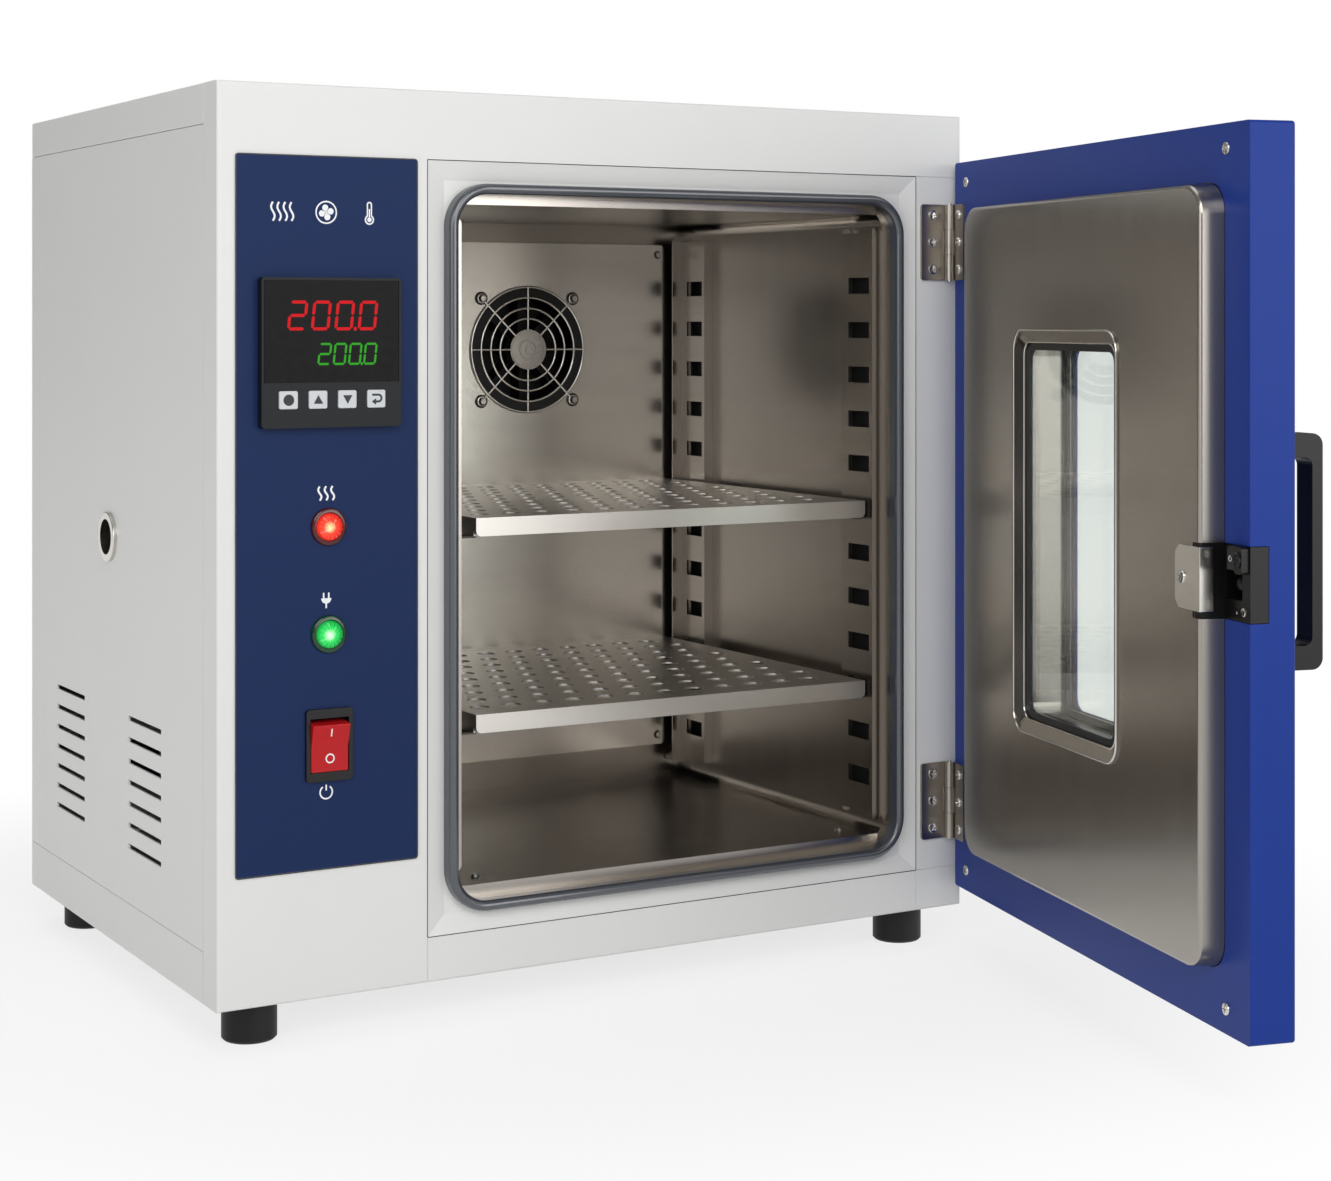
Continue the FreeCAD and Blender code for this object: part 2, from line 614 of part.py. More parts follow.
def fan_housing():
    """The closed sheet box behind the chamber that holds the fan and the heating element."""
    body = block(
        wider(PLENUM_X, "chamber_wall"), (SHELL_BACK, f"{SHELL_BACK} + plenum_depth"), wider(PLENUM_Z, "chamber_wall"))
    space = block(
        PLENUM_X, (f"{SHELL_BACK} - overrun", f"{SHELL_BACK} + plenum_depth - chamber_wall"), PLENUM_Z)
    holes = [rod("+y", ("fan_across", SHELL_BACK, "fan_up"), "shaft_radius + overrun", "plenum_depth + overrun")]
    holes += [
        rod("+y", (f"fan_across + {side} * heater_leg_spread", SHELL_BACK, "fan_up - heater_ring"),
            "heater_rod + shaft_clearance", "plenum_depth + overrun")
        for side in (-1, 1)
    ]
    node("fan_housing", in_cabinet, cut(body, space, *holes))


def lagging_and_divider():
    """Mineral wool about the chamber, and the sheet that walls off the wiring bay."""
    bay = ("divider_left + divider_wall", "body_width - shell_wall - lagging_margin")
    wool = block(bay, ("lagging_front", "lagging_back"), ("shell_wall", "body_height - shell_wall - lagging_margin"))
    shell_x = wider(("chamber_left", "chamber_right"), "chamber_wall + lagging_gap")
    shell_z = wider(("chamber_bottom", "chamber_top"), "chamber_wall + lagging_gap")
    space = block(shell_x, ("0", "chamber_back + chamber_wall + lagging_gap"), shell_z)
    plenum = block(
        wider(("baffle_left + plenum_inset", "baffle_right - plenum_inset"), "chamber_wall + lagging_gap"),
        ("chamber_back", "body_depth"),
        wider(("baffle_bottom + plenum_inset", "baffle_top - plenum_inset"), "chamber_wall + lagging_gap"))
    port = rod("+x", ("0", "port_back", "port_up"), "port_tube + port_clearance", "chamber_left")
    probe = rod("+x", ("0", "probe_back", "probe_up"), "probe_head + port_clearance", "chamber_left")
    bolts = [
        rod("+z", (x, y, "0"), "foot_bolt + bolt_clearance + lagging_gap", "foot_bolt_grip + lagging_gap") for x, y in FEET
    ]
    node("chamber_insulation", in_cabinet, cut(wool, space, plenum, port, probe, *bolts))
    sheet = block(
        ("divider_left", "divider_left + divider_wall"), ("lagging_front", "body_depth - shell_wall"),
        ("shell_wall", "body_height - shell_wall"))
    port_hole = rod("+x", ("0", "port_back", "port_up"), "port_tube + port_clearance", "chamber_left")
    probe_hole = rod("+x", ("0", "probe_back", "probe_up"), "probe_radius + shaft_clearance", "chamber_left")
    node("divider_panel", in_cabinet, cut(sheet, port_hole, probe_hole))


# Air circulation


def baffle_corners():
    """The baffle's four screw places."""
    return [
        (x, z)
        for x in ("baffle_left + baffle_screw_inset", "baffle_right - baffle_screw_inset")
        for z in ("baffle_bottom + baffle_screw_inset", "baffle_top - baffle_screw_inset")
    ]


BAFFLE_FACE = "chamber_back - baffle_stand"


def rear_baffle():
    """The folded plate that hides the fan space, with the fan's round hole."""
    x, z = ("baffle_left", "baffle_right"), ("baffle_bottom", "baffle_top")
    tray = rounded(block(x, (BAFFLE_FACE, "chamber_back"), z), "baffle_corner", along("+y"))
    inside = block(
        wider(x, "-baffle_wall"), (f"{BAFFLE_FACE} + baffle_wall", "chamber_back + overrun"), wider(z, "-baffle_wall"))
    fan = rod("+y", ("fan_across", f"{BAFFLE_FACE} - overrun", "fan_up"), "fan_hole", "baffle_stand")
    holes = [
        rod("+y", (px, f"{BAFFLE_FACE} - overrun", pz), "small_shank + shank_clearance", "baffle_stand")
        for px, pz in baffle_corners() + guard_corners()
    ]
    node("rear_baffle_plate", in_cabinet, cut(tray, inside, fan, *holes))


def guard_corners():
    """The fan guard's four screw places."""
    half = "guard_screw_spacing / 2"
    return [(f"fan_across + {a} * {half}", f"fan_up + {b} * {half}") for a in (-1, 1) for b in (-1, 1)]


def fan_guard():
    """A round wire guard: four rings, spokes, a hub disc and an eye at each screw."""
    plane = f"{BAFFLE_FACE} - guard_wire"
    centre = ("0", "0", "0")
    hub_share = 0.32
    wires = [ring(centre, f"guard_radius * {share}", "guard_wire") for share in (1, 0.83, 0.66, 0.495)]
    wires.append(rod("-y", centre, f"guard_radius * {hub_share}", "guard_wire"))
    reach = {0: "guard_screw_spacing * sqrt(2) / 2 - guard_eye", 1: "guard_radius"}
    for step in range(8):
        spoke = rod("+x", centre, "guard_wire", reach[(step + 1) % 2])
        wires.append(turned(spoke, "+y", f"{step} * 45"))
    eyes = []
    for a in (-1, 1):
        for b in (-1, 1):
            place = (f"{a} * guard_screw_spacing / 2", "0", f"{b} * guard_screw_spacing / 2")
            eyes.append(ring(place, "guard_eye", "guard_wire"))
    guard = fuse(*wires, *eyes)
    node("fan_guard", in_cabinet, moved(guard, ("fan_across", plane, "fan_up")))


def fan_and_motor():
    """The impeller on its shaft, the motor behind the plenum and the heating element about the fan."""
    hub = rod("+y", ("0", "impeller_front", "0"), "hub_radius", "impeller_back - impeller_front")
    disc = rod("+y", ("0", "impeller_back - plate_thick", "0"), "fan_radius - overrun", "plate_thick")
    shaft = rod("+y", ("0", "impeller_front", "0"), "shaft_radius", "motor_front - impeller_front + motor_length / 2")
    blades = [
        turned(block(("blade_root", "fan_radius"), ("impeller_front", "impeller_back"), ("0", "blade_thick")),
               "+y", f"{k} * 45")
        for k in range(8)
    ]
    node("fan_impeller", in_cabinet, moved(fuse(hub, disc, shaft, *blades), ("fan_across", "0", "fan_up")))
    case = rod("+y", ("0", "motor_front", "0"), "motor_radius", "motor_length")
    boss = rod("-y", ("0", "motor_front", "0"), "motor_boss", "motor_front - chamber_back - chamber_wall - plenum_depth")
    bore = rod("+y", ("0", "motor_front - overrun", "0"), "shaft_radius + shaft_clearance", "motor_length / 2 + 2 * overrun")
    node("fan_motor", in_cabinet, moved(cut(fuse(case, boss), bore), ("fan_across", "0", "fan_up")))
    loop = ring(("0", "heater_plane", "0"), "heater_ring", "heater_rod")
    legs = [
        rod("+y", (f"{side} * heater_leg_spread", "heater_plane", "-heater_ring"), "heater_rod",
            "chamber_back + plenum_depth + chamber_wall - heater_plane + motor_boss")
        for side in (-1, 1)
    ]
    node("heater_element", in_cabinet, moved(fuse(loop, *legs), ("fan_across", "0", "fan_up")))


def thermometer():
    """A sheathed probe through the chamber's left wall."""
    sheath = rod("+x", ("divider_left - overrun", "probe_back", "probe_up"), "probe_radius", "probe_length + chamber_left - divider_left")
    head = rod("-x", ("chamber_left - chamber_wall - lagging_gap", "probe_back", "probe_up"), "probe_head", "probe_head_length")
    node("temperature_probe", in_cabinet, fuse(sheath, head))


# Shelf ladder and shelves


def rail_side(side):
    """The wall that a rail stands on, and its slotted face, as formulas from low to high."""
    if side == "left":
        return ("chamber_left", "chamber_left + rail_stand")
    return ("chamber_right - rail_stand", "chamber_right")


def slotted_web(side, front, width, slot):
    """The slotted face of a rail, parallel to the side wall."""
    low, high = rail_side(side)
    x = (f"{high} - rail_wall", high) if side == "left" else (low, f"{low} + rail_wall")
    web = block(x, (front, f"{front} + {width}"), ("rail_bottom + rail_end", "rail_top - rail_end"))
    slots = [
        block((f"{low} - overrun", f"{high} + overrun"),
              (f"{front} + slot_inset", f"{front} + slot_inset + {slot}"),
              (f"slot_top - slot_height - {k} * slot_pitch", f"slot_top - {k} * slot_pitch"))
        for k in range(int(size("slot_count")))
    ]
    return cut(web, *slots)


def facing_strip(x, front):
    """A strip of a rail that faces the mouth, with rounded ends."""
    return rounded(block(x, (front, f"{front} + rail_wall"), ("rail_bottom", "rail_top")), "rail_round", along("+y"))


def front_rail(side):
    """A slotted channel, open towards the wall."""
    x = rail_side(side)
    return fuse(
        slotted_web(side, "rail_front", "rail_width", "slot_length"), facing_strip(x, "rail_front"),
        facing_strip(x, "rail_front + rail_width - rail_wall"))


def rear_rail(side):
    """A slotted face, and the wide strip at its back edge that also stands out beside the baffle."""
    low, high = rail_side(side)
    x = (low, f"{high} + rear_flange") if side == "left" else (f"{low} - rear_flange", high)
    return (
        slotted_web(side, "rail_back", "rear_rail_width - rail_wall", "rear_slot_length"),
        facing_strip(x, "rail_back + rear_rail_width - rail_wall"))


def shelf_rails():
    """Slotted uprights for the shelf clips, two on each side wall."""
    for side in ("left", "right"):
        node(f"{side}_shelf_rails", in_cabinet, front_rail(side), *rear_rail(side))


def shelf_clips():
    """Folded clips: a tongue in a slot, a web on the channel and a ledge under the shelf."""
    clips = []
    for top in ("upper_shelf_top", "lower_shelf_top"):
        ledge_top = f"{top} - shelf_lip - clip_gap"
        for side in (-1, 1):
            wall = "chamber_left + rail_stand" if side < 0 else "chamber_right - rail_stand"
            for front in ("rail_front", "rail_back"):
                y = (f"{front} + slot_inset + clip_gap", f"{front} + slot_inset + clip_gap + clip_width")
                low = f"{ledge_top} - clip_wall"
                spans = {
                    -1: ((wall, f"{wall} + clip_wall"), (wall, f"{wall} + clip_reach"), (f"{wall} - clip_tongue", wall)),
                    1: ((f"{wall} - clip_wall", wall), (f"{wall} - clip_reach", wall), (wall, f"{wall} + clip_tongue")),
                }[side]
                web = block(spans[0], y, (low, f"{low} + clip_height"))
                ledge = block(spans[1], y, (low, ledge_top))
                tongue = block(
                    spans[2], y, (f"{low} + clip_height - clip_tongue_height", f"{low} + clip_height"))
                clips.append(fuse(web, ledge, tongue))
    node("shelf_clips", in_cabinet, *clips)


def shelf(label, top_name):
    """A perforated shelf with folded lips, its holes in staggered rows."""
    left, right = size("shelf_left"), size("shelf_right")
    front, back = size("shelf_front"), size("shelf_back")
    wall, top = size("shelf_wall"), size(top_name)
    corners = [(left, front), (right, front), (right, back), (left, back)]
    outline = Part.makePolygon([FreeCAD.Vector(x, y, top - wall) for x, y in corners + corners[:1]])
    wires = [outline]
    pitch, margin = size("hole_pitch"), size("hole_margin")
    for row_number in range(int(size("hole_rows"))):
        y = front + size("hole_front_margin") + row_number * size("hole_row_pitch")
        shift = pitch / 2 * (row_number % 2)
        for column in range(int(size("hole_columns"))):
            place = FreeCAD.Vector(left + margin + shift + column * pitch, y, top - wall)
            circle = Part.makeCircle(size("hole_radius"), place, FreeCAD.Vector(0, 0, 1))
            wires.append(Part.Wire(circle))
    plate = document.addObject("Part::Feature", "Plate")
    plate.Shape = Part.Face(wires, "Part::FaceMakerBullseye").extrude(FreeCAD.Vector(0, 0, wall))
    low = f"{top_name} - shelf_lip"
    x, y = ("shelf_left", "shelf_right"), ("shelf_front", "shelf_back")
    lips = rounded(block(x, y, (low, top_name)), "lip_corner", at_lip_ends(size(top_name) - size("shelf_lip")))
    inside = block(wider(x, "-shelf_wall"), wider(y, "-shelf_wall"), (f"{low} - overrun", top_name))
    sides = [
        block(edge, ("shelf_front + lip_corner", "shelf_back - lip_corner"), (low, top_name))
        for edge in (("shelf_left", "shelf_left + shelf_wall"), ("shelf_right - shelf_wall", "shelf_right"))
    ]
    node(label, in_cabinet, fuse(cut(lips, inside), plate, *sides))


def at_lip_ends(level):
    """The lower edges of a shelf's two short lips, which run from front to back."""
    def test(edge):
        box = edge.BoundBox
        return box.ZMax < level + size("fit_gap") and box.YLength > size("shelf_lip")

    return test


def chamber_screws():
    """The screws that hold the baffle, the fan guard and the floor."""
    head = ("small_head", "small_head_height", "small_shank", "small_grip")
    parts = [screw("-y", (x, BAFFLE_FACE, z), *head) for x, z in baffle_corners()]
    over_eye = f"{BAFFLE_FACE} - 2 * guard_wire - fit_gap / 2"
    parts += [
        screw("-y", (x, over_eye, z), *head[:3], "small_grip + 2 * guard_wire + fit_gap / 2") for x, z in guard_corners()
    ]
    crown = ("small_head", "small_head * head_crown_share", "small_head_height")
    for x in ("chamber_left + floor_screw_inset", "chamber_right - floor_screw_inset"):
        parts.append(cone("+z", (x, "floor_screw_front", "chamber_bottom"), *crown))
    for x in ("chamber_left + back_screw_inset", "chamber_right - back_screw_inset"):
        parts.append(cone("-y", (x, "chamber_back", "chamber_bottom + back_screw_inset"), *crown))
    node("chamber_screws", in_cabinet, *parts)


# Control panel


def controller():
    """The temperature controller: case and bezel, display window and four keys."""
    half = "controller_size / 2"
    face = "-panel_wall - bezel_proud"
    case_half = "case_size / 2"
    bezel = block(
        (f"panel_column - {half}", f"panel_column + {half}"), (face, "-panel_wall"),
        (f"controller_up - {half}", f"controller_up + {half}"))
    bezel = rounded(bezel, "bezel_edge", along("+y"))
    case = block(
        (f"panel_column - {case_half}", f"panel_column + {case_half}"), ("-panel_wall", "case_depth"),
        (f"controller_up - {case_half}", f"controller_up + {case_half}"))
    window_x = ("panel_column - display_width / 2", "panel_column + display_width / 2")
    window_z = ("display_up - display_height / 2", "display_up + display_height / 2")
    sink = block(window_x, (f"{face} - overrun", f"{face} + display_sink"), window_z)
    keys, wells = [], []
    for k in range(int(size("key_count"))):
        middle = f"panel_column + ({k} - (key_count - 1) / 2) * key_pitch"
        x = (f"{middle} - key_width / 2", f"{middle} + key_width / 2")
        z = ("key_up - key_height / 2", "key_up + key_height / 2")
        keys.append(rounded(block(x, (f"{face} - key_proud", f"{face} + key_depth - key_proud"), z), "key_round", along("+y")))
        wells.append(rounded(
            block(wider(x, "key_gap"), (f"{face} - overrun", f"{face} + key_well"), wider(z, "key_gap")),
            "key_round", along("+y")))
    node("controller_case", in_cabinet, cut(fuse(bezel, case), sink, *wells))
    node("controller_window", in_cabinet, rounded(
        block(wider(window_x, "-key_gap"), (f"{face} + display_sink - display_wall", f"{face} + display_sink"),
              wider(window_z, "-key_gap")), "key_round", along("+y")))
    for label, key in zip(("circle_key", "up_key", "down_key", "return_key"), keys):
        node(label, in_cabinet, key)


def control_panel():
    """The coloured panel with its cut-outs."""
    plate = block(("panel_left", "panel_right"), ("-panel_wall", "0"), ("panel_bottom", "panel_top"))
    through = ("-panel_wall - overrun", "overrun")
    case_half = "(case_size / 2 + case_gap)"
    window = block(
        (f"panel_column - {case_half}", f"panel_column + {case_half}"), through,
        (f"controller_up - {case_half}", f"controller_up + {case_half}"))
    switch = block(
        ("panel_column - switch_body_width / 2 - case_gap", "panel_column + switch_body_width / 2 + case_gap"), through,
        ("switch_up - switch_body_height / 2 - case_gap", "switch_up + switch_body_height / 2 + case_gap"))
    lamps = [
        rod("+y", ("panel_column", through[0], up), "lamp_barrel + fit_gap", "panel_wall + 2 * overrun")
        for up in LAMPS.values()
    ]
    node("control_panel", in_cabinet, cut(rounded(plate, "groove_width", along("+y")), window, switch, *lamps))


def pilot_lamps():
    """Two pilot lamps: a bezel with its barrel, and a domed lens seated in it."""
    bodies = []
    for name, up in LAMPS.items():
        front = ("panel_column", "-panel_wall", up)
        collar = rod("-y", front, "lamp_bezel", "lamp_bezel_proud")
        barrel = rod("+y", front, "lamp_barrel", "lamp_depth")
        seat = rod("-y", ("panel_column", "-panel_wall - lamp_bezel_proud + lamp_seat", up), "lamp_lens + key_gap", "lamp_bezel_proud")
        bodies.append(cut(fuse(collar, barrel), seat))
        base = ("panel_column", "-panel_wall - lamp_bezel_proud + lamp_seat", up)
        lens = rounded(rod("-y", base, "lamp_lens", "lamp_dome"), "lamp_round", at_level(
            "y", -size("panel_wall") - size("lamp_bezel_proud") + size("lamp_seat") - size("lamp_dome")))
        node(f"{name}_lamp_lens", in_cabinet, lens)
    node("lamp_bodies", in_cabinet, *bodies)


def power_switch():
    """A rocker switch in its bezel and housing; the rocker's face is hollow and its lower half rests pressed."""
    front = "-panel_wall - switch_proud"
    bezel = block(
        ("panel_column - switch_width / 2", "panel_column + switch_width / 2"), (front, "-panel_wall"),
        ("switch_up - switch_height / 2", "switch_up + switch_height / 2"))
    housing = block(
        ("panel_column - switch_body_width / 2", "panel_column + switch_body_width / 2"), ("-panel_wall", "switch_depth"),
        ("switch_up - switch_body_height / 2", "switch_up + switch_body_height / 2"))
    well = block(
        ("panel_column - rocker_width / 2 - rocker_gap", "panel_column + rocker_width / 2 + rocker_gap"),
        (f"{front} - overrun", "switch_floor"),
        ("switch_up - rocker_height / 2 - rocker_sweep", "switch_up + rocker_height / 2 + rocker_sweep"))
    case = fuse(rounded(bezel, "bezel_edge", along("+y")), housing)
    pivot = rod(
        "+x", ("panel_column - switch_body_width", "rocker_pivot_depth", "switch_up"), "rocker_stub + pin_clearance",
        "2 * switch_body_width")
    node("switch_body", in_cabinet, cut(case, well, pivot))
    plate = block(
        ("-rocker_width / 2", "rocker_width / 2"), ("-rocker_face", "rocker_back"), ("-rocker_height / 2", "rocker_height / 2"))
    hollows = [
        moved(turned(block(("-rocker_width", "rocker_width"), ("-rocker_face", "0"), span), "+x", tilt), ("0", "-rocker_valley", "0"))
        for span, tilt in ((("0", "rocker_height"), "rocker_tilt"), (("-rocker_height", "0"), "-rocker_tilt"))
    ]
    stub = rod("+x", ("key_gap - switch_body_width / 2", "0", "0"), "rocker_stub", "switch_body_width - 2 * key_gap")
    paddle = turned(fuse(cut(plate, *hollows), stub), "+x", "rocker_tilt")
    node("power_rocker", in_cabinet, moved(paddle, ("panel_column", "rocker_pivot_depth", "switch_up")))


# Side port and rear fittings


def access_port():
    """A lined port through the left wall into the chamber, with a ring outside."""
    tube = rod("+x", ("-port_proud", "port_back", "port_up"), "port_tube", "chamber_left + port_proud")
    flange = rod("-x", ("0", "port_back", "port_up"), "port_ring", "port_proud")
    flange = rounded(flange, "groove_width", at_level("x", -size("port_proud")))
    bore = rod("+x", ("-port_proud - overrun", "port_back", "port_up"), "port_bore", "chamber_left + port_proud + 2 * overrun")
    node("port_liner", in_cabinet, cut(fuse(tube, flange), bore))


def rear_fittings():
    """The mains inlet in the back panel and the heater's relay on the divider."""
    half_x, half_z = "inlet_width / 2", "inlet_height / 2"
    body = block(
        (f"inlet_across - {half_x}", f"inlet_across + {half_x}"), ("body_depth - inlet_depth", "body_depth"),
        (f"inlet_up - {half_z}", f"inlet_up + {half_z}"))
    flange = block(
        (f"inlet_across - {half_x} - inlet_flange", f"inlet_across + {half_x} + inlet_flange"),
        ("body_depth", "body_depth + inlet_flange_wall"),
        (f"inlet_up - {half_z} - inlet_flange", f"inlet_up + {half_z} + inlet_flange"))
    socket = block(
        ("inlet_across - inlet_socket_width / 2", "inlet_across + inlet_socket_width / 2"),
        ("body_depth + inlet_flange_wall - inlet_socket_depth", "body_depth + inlet_flange_wall + overrun"),
        ("inlet_up - inlet_socket_height / 2", "inlet_up + inlet_socket_height / 2"))
    node("power_inlet", in_cabinet, cut(fuse(body, rounded(flange, "bezel_edge", along("+y"))), socket))
    relay = block(
        ("divider_left - relay_depth", "divider_left"), ("relay_back", "relay_back + relay_width"),
        ("relay_up", "relay_up + relay_height"))
    node("heater_relay", in_cabinet, rounded(relay, "bezel_edge", along("+x")))


# Hinges


def hinge_thirds(bottom):
    """The three knuckles of a hinge, as pairs of heights."""
    third = "leaf_height / 3"
    return [(f"{bottom} + {k} * {third}", f"{bottom} + {k + 1} * {third}") for k in range(3)]


def knuckle(place, span):
    """One barrel section about the pin."""
    return rod("+z", (*place, f"{span[0]} + knuckle_gap / 2"), "barrel_radius", f"({span[1]}) - ({span[0]}) - knuckle_gap")


def hinges():
    """Two butt hinges: a leaf on the cabinet's front, a leaf on the door's back and a pin."""
    pins, frame_screws = [], []
    for name, bottom in HINGES.items():
        top = f"{bottom} + leaf_height"
        thirds = hinge_thirds(bottom)
        pin_place = ("pin_across", "-pin_out")
        plate = rounded(
            block(("pin_across - leaf_width", "pin_across"), ("-leaf_wall", "0"), (bottom, top)),
            "leaf_corner", lambda e: along("+y")(e) and e.BoundBox.XMax < size("pin_across") - size("barrel_radius"))
        middle = thirds[1]
        notch = block(
            ("pin_across - barrel_radius - knuckle_gap", "pin_across + overrun"), ("-leaf_wall - overrun", "overrun"), middle)
        bore = rod("+z", (*pin_place, f"{bottom} - overrun"), "pin_radius + pin_clearance", "leaf_height + 2 * overrun")
        holes = [
            rod("+y", ("pin_across - frame_screw_inset", "-leaf_wall - overrun", z), "hinge_shank + shank_clearance", "leaf_wall + 2 * overrun")
            for z in hinge_heights(bottom)
        ]
        leaf = fuse(cut(plate, notch), knuckle(pin_place, thirds[0]), knuckle(pin_place, thirds[2]))
        node(f"{name}_hinge_frame_leaf", in_cabinet, cut(leaf, bore, *holes))
        pins.append(rod(
            "+z", (*pin_place, f"{bottom} - pin_overhang"), "pin_radius", "leaf_height + 2 * pin_overhang"))
        frame_screws += [
            screw("-y", ("pin_across - frame_screw_inset", "-leaf_wall", z), "hinge_head", "hinge_head_height", "hinge_shank", "hinge_grip")
            for z in hinge_heights(bottom)
        ]
        door_plate = rounded(
            door_block(("0", "door_leaf_width"), ("door_face_gap - leaf_wall", "door_face_gap"), (bottom, top)),
            "leaf_corner", lambda e: along("+y")(e) and e.BoundBox.XMax < -size("barrel_radius"))
        notches = [
            door_block(("-overrun", "barrel_radius + knuckle_gap"), ("0", "door_face_gap + overrun"), span)
            for span in (thirds[0], thirds[2])
        ]
        door_bore = rod("+z", ("0", "0", f"{bottom} - overrun"), "pin_radius + pin_clearance", "leaf_height + 2 * overrun")
        door_holes = [
            rod("-y", door_point("door_screw_inset", "0", z), "hinge_shank + shank_clearance", "door_face_gap + overrun")
            for z in hinge_heights(bottom)
        ]
        door_leaf = fuse(cut(door_plate, *notches), knuckle(("0", "0"), middle))
        node(f"{name}_hinge_door_leaf", on_door, cut(door_leaf, door_bore, *door_holes))
    node("hinge_pins", in_cabinet, *pins)
    node("frame_hinge_screws", in_cabinet, *frame_screws)


# Door

BACK, FRONT = "door_face_gap", "door_face_gap + door_thick"
FREE = "door_width"


def door_corner_screws():
    """The four screws at the corners of the door's back."""
    return [
        (u, z)
        for u in ("door_screw_near", "door_width - door_screw_far - leaf_wall")
        for z in ("door_bottom + door_screw_drop", "door_top - door_screw_drop")
    ]


def door_screw_places():
    """The screws of the door's hinge leaves, as places along and up the door."""
    return [("door_screw_inset", z) for bottom in HINGES.values() for z in hinge_heights(bottom)]


def latch_notch(gap, far="door_width - door_wall - latch_gap"):
    """The space in the door's free edge that the latch body fills."""
    return [
        door_block(
            (f"plug_far - ({gap})", "door_width + overrun"), ("0", f"door_face_gap + latch_side_depth + {gap}"),
            (f"latch_bottom - ({gap})", f"latch_top + {gap}")),
        door_block(
            (f"latch_near - ({gap})", far),
            ("-plug_proud", f"door_face_gap + latch_depth + {gap}"),
            (f"latch_bottom - ({gap})", f"latch_top + {gap}")),
    ]


def handle_screw_places():
    """The two screws that hold the handle from inside the door."""
    middle = "(handle_near + handle_far) / 2"
    return [(middle, "handle_bottom + handle_foot / 2"), (middle, "handle_top - handle_foot / 2")]


def window_opening(grow, v, inset="window_bevel - sleeve_wall"):
    """A rounded block through the door about the window's sleeve, or its wider collar."""
    return rounded(
        door_block(
            (f"window_near + {inset} - ({grow})", f"window_far - ({inset}) + {grow}"), v,
            (f"window_bottom + {inset} - ({grow})", f"window_top - ({inset}) + {grow}")),
        "glass_corner", along("+y"))


def door_shell():
    """The painted outer tray: face, four sides and a flange folded in about the back."""
    u, z = ("door_near_edge", FREE), ("door_bottom", "door_top")
    body = rounded(door_block(u, (BACK, FRONT), z), "door_corner", door_outer_edges)
    inside = door_block(
        wider(u, "-door_wall"), (f"{BACK} + door_wall", f"{FRONT} - door_wall"), wider(z, "-door_wall"))
    opening = door_block(
        wider(("plug_near", "plug_far"), "fit_gap"), (f"{BACK} - overrun", f"{BACK} + 2 * door_wall"),
        wider(("plug_bottom", "plug_top"), "fit_gap"))
    opening = rounded(opening, "plug_corner", along("+y"))
    window = rounded(
        door_block(
            ("window_near + window_bevel + window_lap", "window_far - window_bevel - window_lap"),
            (f"{FRONT} - 2 * door_wall", f"{FRONT} + overrun"),
            ("window_bottom + window_bevel + window_lap", "window_top - window_bevel - window_lap")),
        "glass_corner", along("+y"))
    holes = [
        rod("-y", door_point(hu, "0", hz), "hinge_shank + shank_clearance", "door_face_gap + 2 * door_wall")
        for hu, hz in door_screw_places() + door_corner_screws()
    ]
    holes += [
        rod("-y", door_point(hu, "door_thick", hz), "hinge_shank + shank_clearance", "door_face_gap + overrun")
        for hu, hz in handle_screw_places()
    ]
    node("door_outer_shell", on_door, cut(body, inside, opening, window, *latch_notch("latch_gap"), *holes))


def door_outer_edges(edge):
    """The outline edges of the door's outer face and its four corners."""
    box = edge.BoundBox
    front = -(size("door_face_gap") + size("door_thick"))
    return abs(box.YMin - front) < size("fit_gap")


def plug_taper(inset, v):
    """The drafted block of the liner's plug, less an inset on every side."""
    body = taper(
        (f"-plug_far + {inset}", f"-plug_near - ({inset})"), v, (f"plug_bottom + {inset}", f"plug_top - ({inset})"),
        "plug_draft")
    return rounded(body, "plug_corner", along("+y"))


def door_liner():
    """The brushed liner: a drafted plug that enters the mouth, on a flange inside the door."""
    face = "plug_proud - door_face_gap"
    base = f"-{BACK} - door_wall"
    plug = plug_taper("0", (base, face))
    plug = rounded(plug, "plug_edge", at_level("y", size("plug_proud") - size("door_face_gap")))
    space = plug_taper("plug_wall", (f"{base} - overrun", f"{face} - plug_wall"))
    flange = door_block(
        wider(("plug_near", "plug_far"), "plug_flange"), (f"{BACK} + door_wall", f"{BACK} + door_wall + plug_wall"),
        wider(("plug_bottom", "plug_top"), "plug_flange"))
    window = window_opening("fit_gap", (f"-({face}) - overrun", BACK), "window_collar")
    steel = cut(fuse(plug, flange), space, window, *latch_notch("latch_gap"))
    holes = [rod("-y", door_point("strike_screw_near", f"-({face}) - overrun", STRIKE_UP), "small_shank + shank_clearance", "2 * overrun")]
    node("door_liner", on_door, cut(steel, *holes))


STRIKE_UP = "(strike_bottom + strike_top) / 2"


